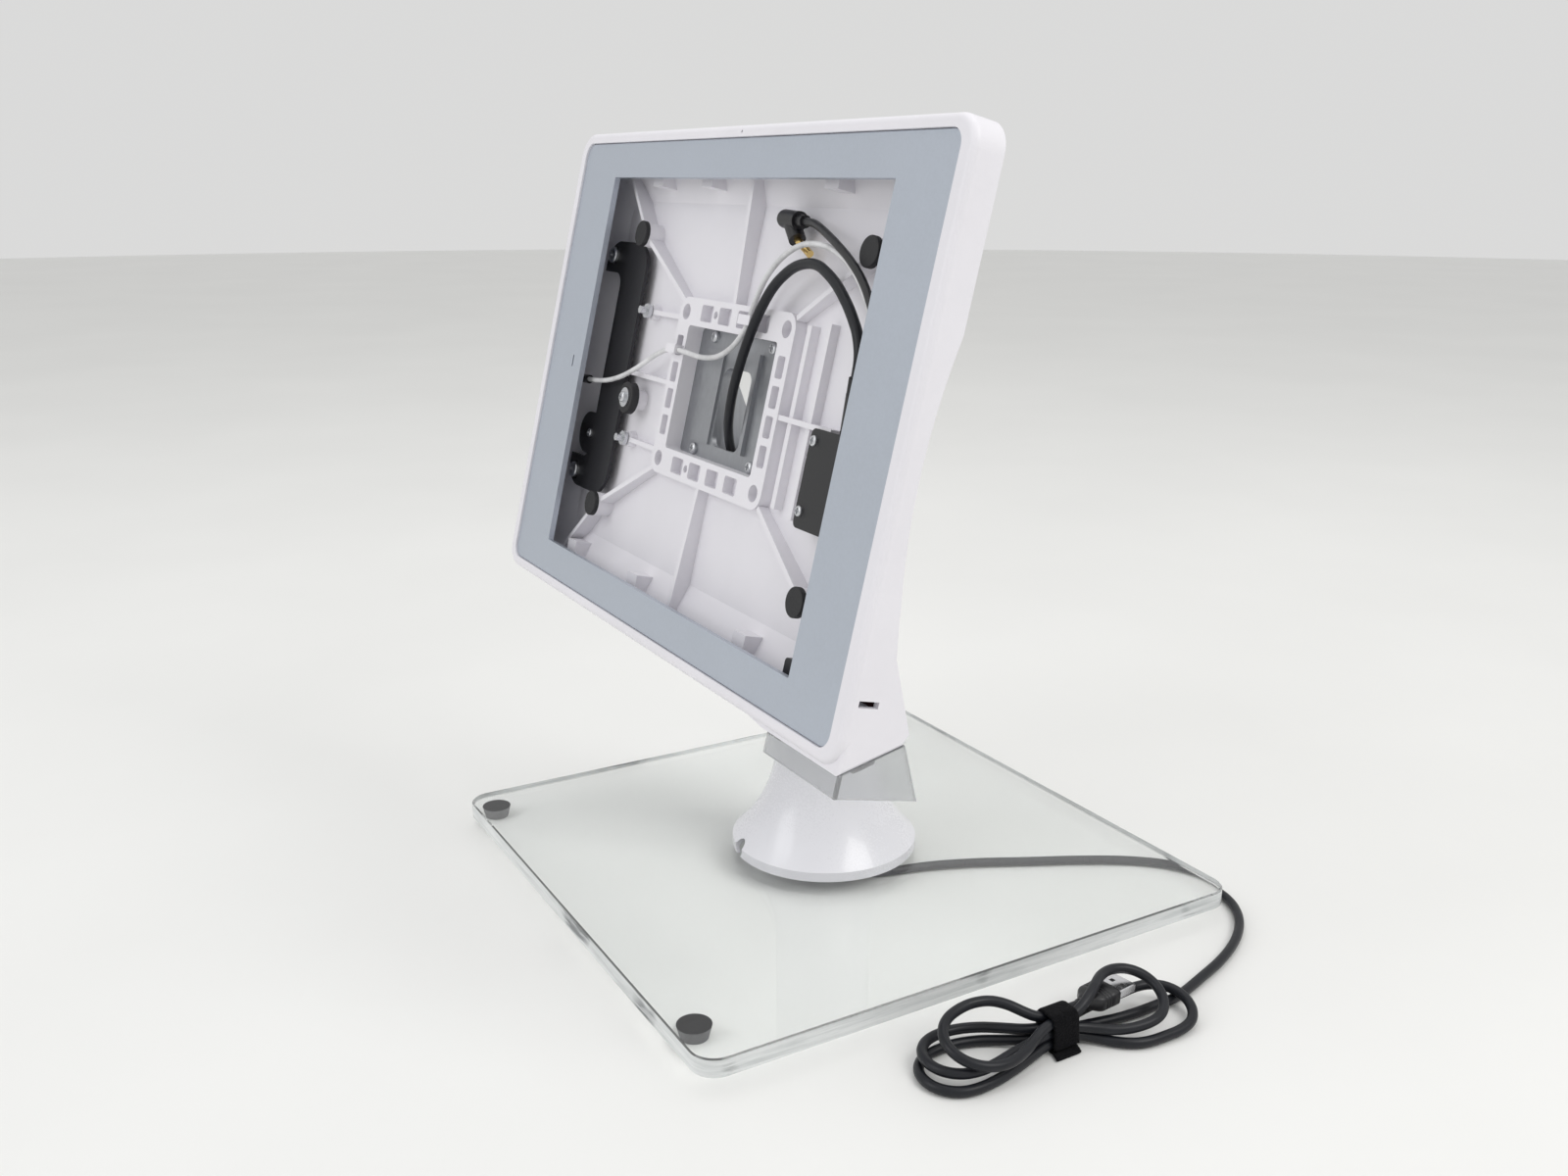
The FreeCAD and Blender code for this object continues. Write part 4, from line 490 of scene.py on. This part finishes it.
# ----------------------------------------------------------------------- plug
PLUG_FROM = Vector((193.65, 13.0, 13.9)) * MM
PLUG_LINE = Vector((-0.17, 0.984, -0.052)).normalized()
PLUG_SIDE = PLUG_LINE.cross(Vector((0, 0, 1))).normalized()
PLUG_UP = PLUG_SIDE.cross(PLUG_LINE)
PLUG_LENGTH = 21.0
SHELL_LENGTH = 12.0


def at_plug(across, along, up):
    return PLUG_FROM + (PLUG_SIDE * across + PLUG_LINE * along + PLUG_UP * up) * MM


def loft(bm, sections, sides=40, power=5.0):
    """Closed skin through rounded-box sections (along, half width, half height, roundness)."""
    rings = []
    for along, half_x, half_z, k in sections:
        ring = []
        for i in range(sides):
            a = 2 * math.pi * i / sides
            c, s = math.cos(a), math.sin(a)
            x = math.copysign(abs(c) ** (2 / k), c) * half_x
            z = math.copysign(abs(s) ** (2 / k), s) * half_z
            ring.append(bm.verts.new(at_plug(x, along, z)))
        rings.append(ring)
    for a, b in zip(rings, rings[1:]):
        for i in range(sides):
            bm.faces.new((a[i], a[(i + 1) % sides], b[(i + 1) % sides], b[i]))
    bm.faces.new(list(reversed(rings[0])))
    bm.faces.new(rings[-1])


def plug_mesh():
    bm = bmesh.new()
    sections = [
        (0.0, 2.5, 2.5, 2.0), (0.15, 2.75, 2.7, 2.0), (1.6, 2.85, 2.75, 2.0), (1.9, 2.6, 2.6, 2.0),
        (2.5, 2.6, 2.6, 2.1), (2.8, 3.2, 2.95, 2.2), (4.6, 3.9, 3.2, 2.6), (6.2, 5.6, 3.55, 3.2),
        (7.6, 6.9, 3.75, 3.8), (9.0, 7.35, 3.85, 4.4),
    ]
    for groove in (11.0, 12.8, 14.6):
        sections += [
            (groove - 0.55, 7.4, 3.9, 4.6), (groove - 0.3, 7.15, 3.68, 4.6), (groove + 0.3, 7.15, 3.68, 4.6),
            (groove + 0.55, 7.4, 3.9, 4.6),
        ]
    sections += [(17.5, 7.45, 3.95, 4.8), (PLUG_LENGTH - 0.8, 7.4, 3.92, 4.8), (PLUG_LENGTH - 0.2, 7.0, 3.5, 4.8),
                 (PLUG_LENGTH, 6.6, 3.1, 4.8)]
    loft(bm, sections)
    # insulating tongue inside the metal shell
    loft(bm, [(PLUG_LENGTH - 0.5, 5.2, 0.001, 8.0), (PLUG_LENGTH - 0.4, 5.2, 0.8, 8.0),
              (PLUG_LENGTH + SHELL_LENGTH - 1.2, 5.2, 0.8, 8.0), (PLUG_LENGTH + SHELL_LENGTH - 0.9, 5.0, 0.5, 8.0)])
    return bm


def shell_mesh():
    """Folded metal sleeve with two square windows above and below."""
    bm = bmesh.new()
    half_x, half_z, wall = 5.85, 2.1, 0.35
    stops_x = [-5.4, -3.8, -1.5, 1.5, 3.8, 5.4]
    outline = [(x, half_z) for x in stops_x] + [(half_x, half_z - 0.45), (half_x, -half_z + 0.45)]
    outline += [(-x, -half_z) for x in stops_x] + [(-half_x, -half_z + 0.45), (-half_x, half_z - 0.45)]
    begin, end = PLUG_LENGTH - 0.6, PLUG_LENGTH + SHELL_LENGTH - 0.1
    stops_y = [begin, begin + 5.4, begin + 7.8, end - 0.5, end]
    windows = {(1, 1), (3, 1), (9, 1), (11, 1)}
    grid = [[bm.verts.new(at_plug(x, y, z)) for x, z in outline] for y in stops_y]
    for j in range(len(stops_y) - 1):
        for i in range(len(outline)):
            k = (i + 1) % len(outline)
            if (i, j) in windows:
                continue
            bm.faces.new((grid[j][i], grid[j][k], grid[j + 1][k], grid[j + 1][i]))
    bmesh.ops.recalc_face_normals(bm, faces=bm.faces)
    bmesh.ops.solidify(bm, geom=list(bm.faces), thickness=wall * MM)
    return bm


plug = mesh_object("plug_body", plug_mesh, "black_plastic")
shell = mesh_object("plug_sleeve", shell_mesh, "plated", smooth=False)
for piece, node, slot_name in ((plug, "usb_plug", "black_plastic"), (shell, "plug_shell", "plated")):
    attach(piece, "stand")
    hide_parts(node)


# ---------------------------------------------------------------------- stage
def floor_mesh():
    bm = bmesh.new()
    rings, sides, outer = 24, 96, 7.0
    centre = bm.verts.new((0, 0, -0.0002))
    last = None
    for r in range(1, rings + 1):
        radius = outer * (r / rings) ** 2
        ring = [bm.verts.new((radius * math.cos(2 * math.pi * i / sides), radius * math.sin(2 * math.pi * i / sides),
                              -0.0002)) for i in range(sides)]
        for i in range(sides):
            k = (i + 1) % sides
            if last:
                bm.faces.new((last[i], ring[i], ring[k], last[k]))
            else:
                bm.faces.new((centre, ring[i], ring[k]))
        last = ring
    return bm


def floor_material():
    g = Graph("floor_mat")
    cloud = g.noise(3.0, 4.0, 0.5)
    g.colour(g.ramp(cloud, [(0.3, (0.81, 0.81, 0.795)), (0.7, (0.84, 0.84, 0.825))]))
    g.rough(g.span(cloud, 0.5, 0.6, 0.3, 0.7))
    return g.mat


MATERIALS["floor"] = floor_material()
floor = mesh_object("floor", floor_mesh, "floor", smooth=False)


def area_light(name, place, aim, size, power, colour=(1.0, 1.0, 1.0)):
    data = bpy.data.lights.new(name, "AREA")
    data.shape = "RECTANGLE"
    data.size, data.size_y = size
    data.energy = power
    data.color = colour
    obj = bpy.data.objects.new(name, data)
    bpy.context.scene.collection.objects.link(obj)
    obj.location = place
    obj.rotation_mode = "QUATERNION"
    obj.rotation_quaternion = (Vector(aim) - Vector(place)).to_track_quat("-Z", "Y")


area_light("key", (1.3, 0.6, 1.7), (0, 0, 0.2), (1.0, 1.0), 14.0, (1.0, 0.995, 0.98))
area_light("fill", (-0.3, -1.9, 1.3), (0, 0, 0.2), (0.9, 1.4), 9.5, (0.97, 0.98, 1.0))
area_light("top", (-0.3, 0.2, 2.3), (0, 0, 0.1), (1.6, 1.6), 7.0)

world = bpy.data.worlds.new("studio")
bpy.context.scene.world = world
world.use_nodes = True
background = world.node_tree.nodes["Background"]
background.inputs["Color"].default_value = (0.88, 0.88, 0.875, 1.0)
background.inputs["Strength"].default_value = 0.80

# --------------------------------------------------------------------- camera
AZIMUTH, PITCH, ROLL = math.radians(59.8555), math.radians(16.0924), math.radians(0.0564)
forward = Vector((-math.sin(AZIMUTH) * math.cos(PITCH), math.cos(AZIMUTH) * math.cos(PITCH), -math.sin(PITCH)))
level = Vector((math.cos(AZIMUTH), math.sin(AZIMUTH), 0.0))
upward = level.cross(forward)
right = level * math.cos(ROLL) + upward * math.sin(ROLL)
upward = right.cross(forward)
camera_data = bpy.data.cameras.new("camera")
camera_data.sensor_width = 36.0
camera_data.lens = 32.744
camera_data.clip_start = 0.01
camera = bpy.data.objects.new("camera", camera_data)
bpy.context.scene.collection.objects.link(camera)
camera.matrix_world = Matrix((
    (right.x, upward.x, -forward.x, 0.60784),
    (right.y, upward.y, -forward.y, -0.37837),
    (right.z, upward.z, -forward.z, 0.36569),
    (0, 0, 0, 1),
))
bpy.context.scene.camera = camera
bpy.context.scene.view_settings.view_transform = "Standard"
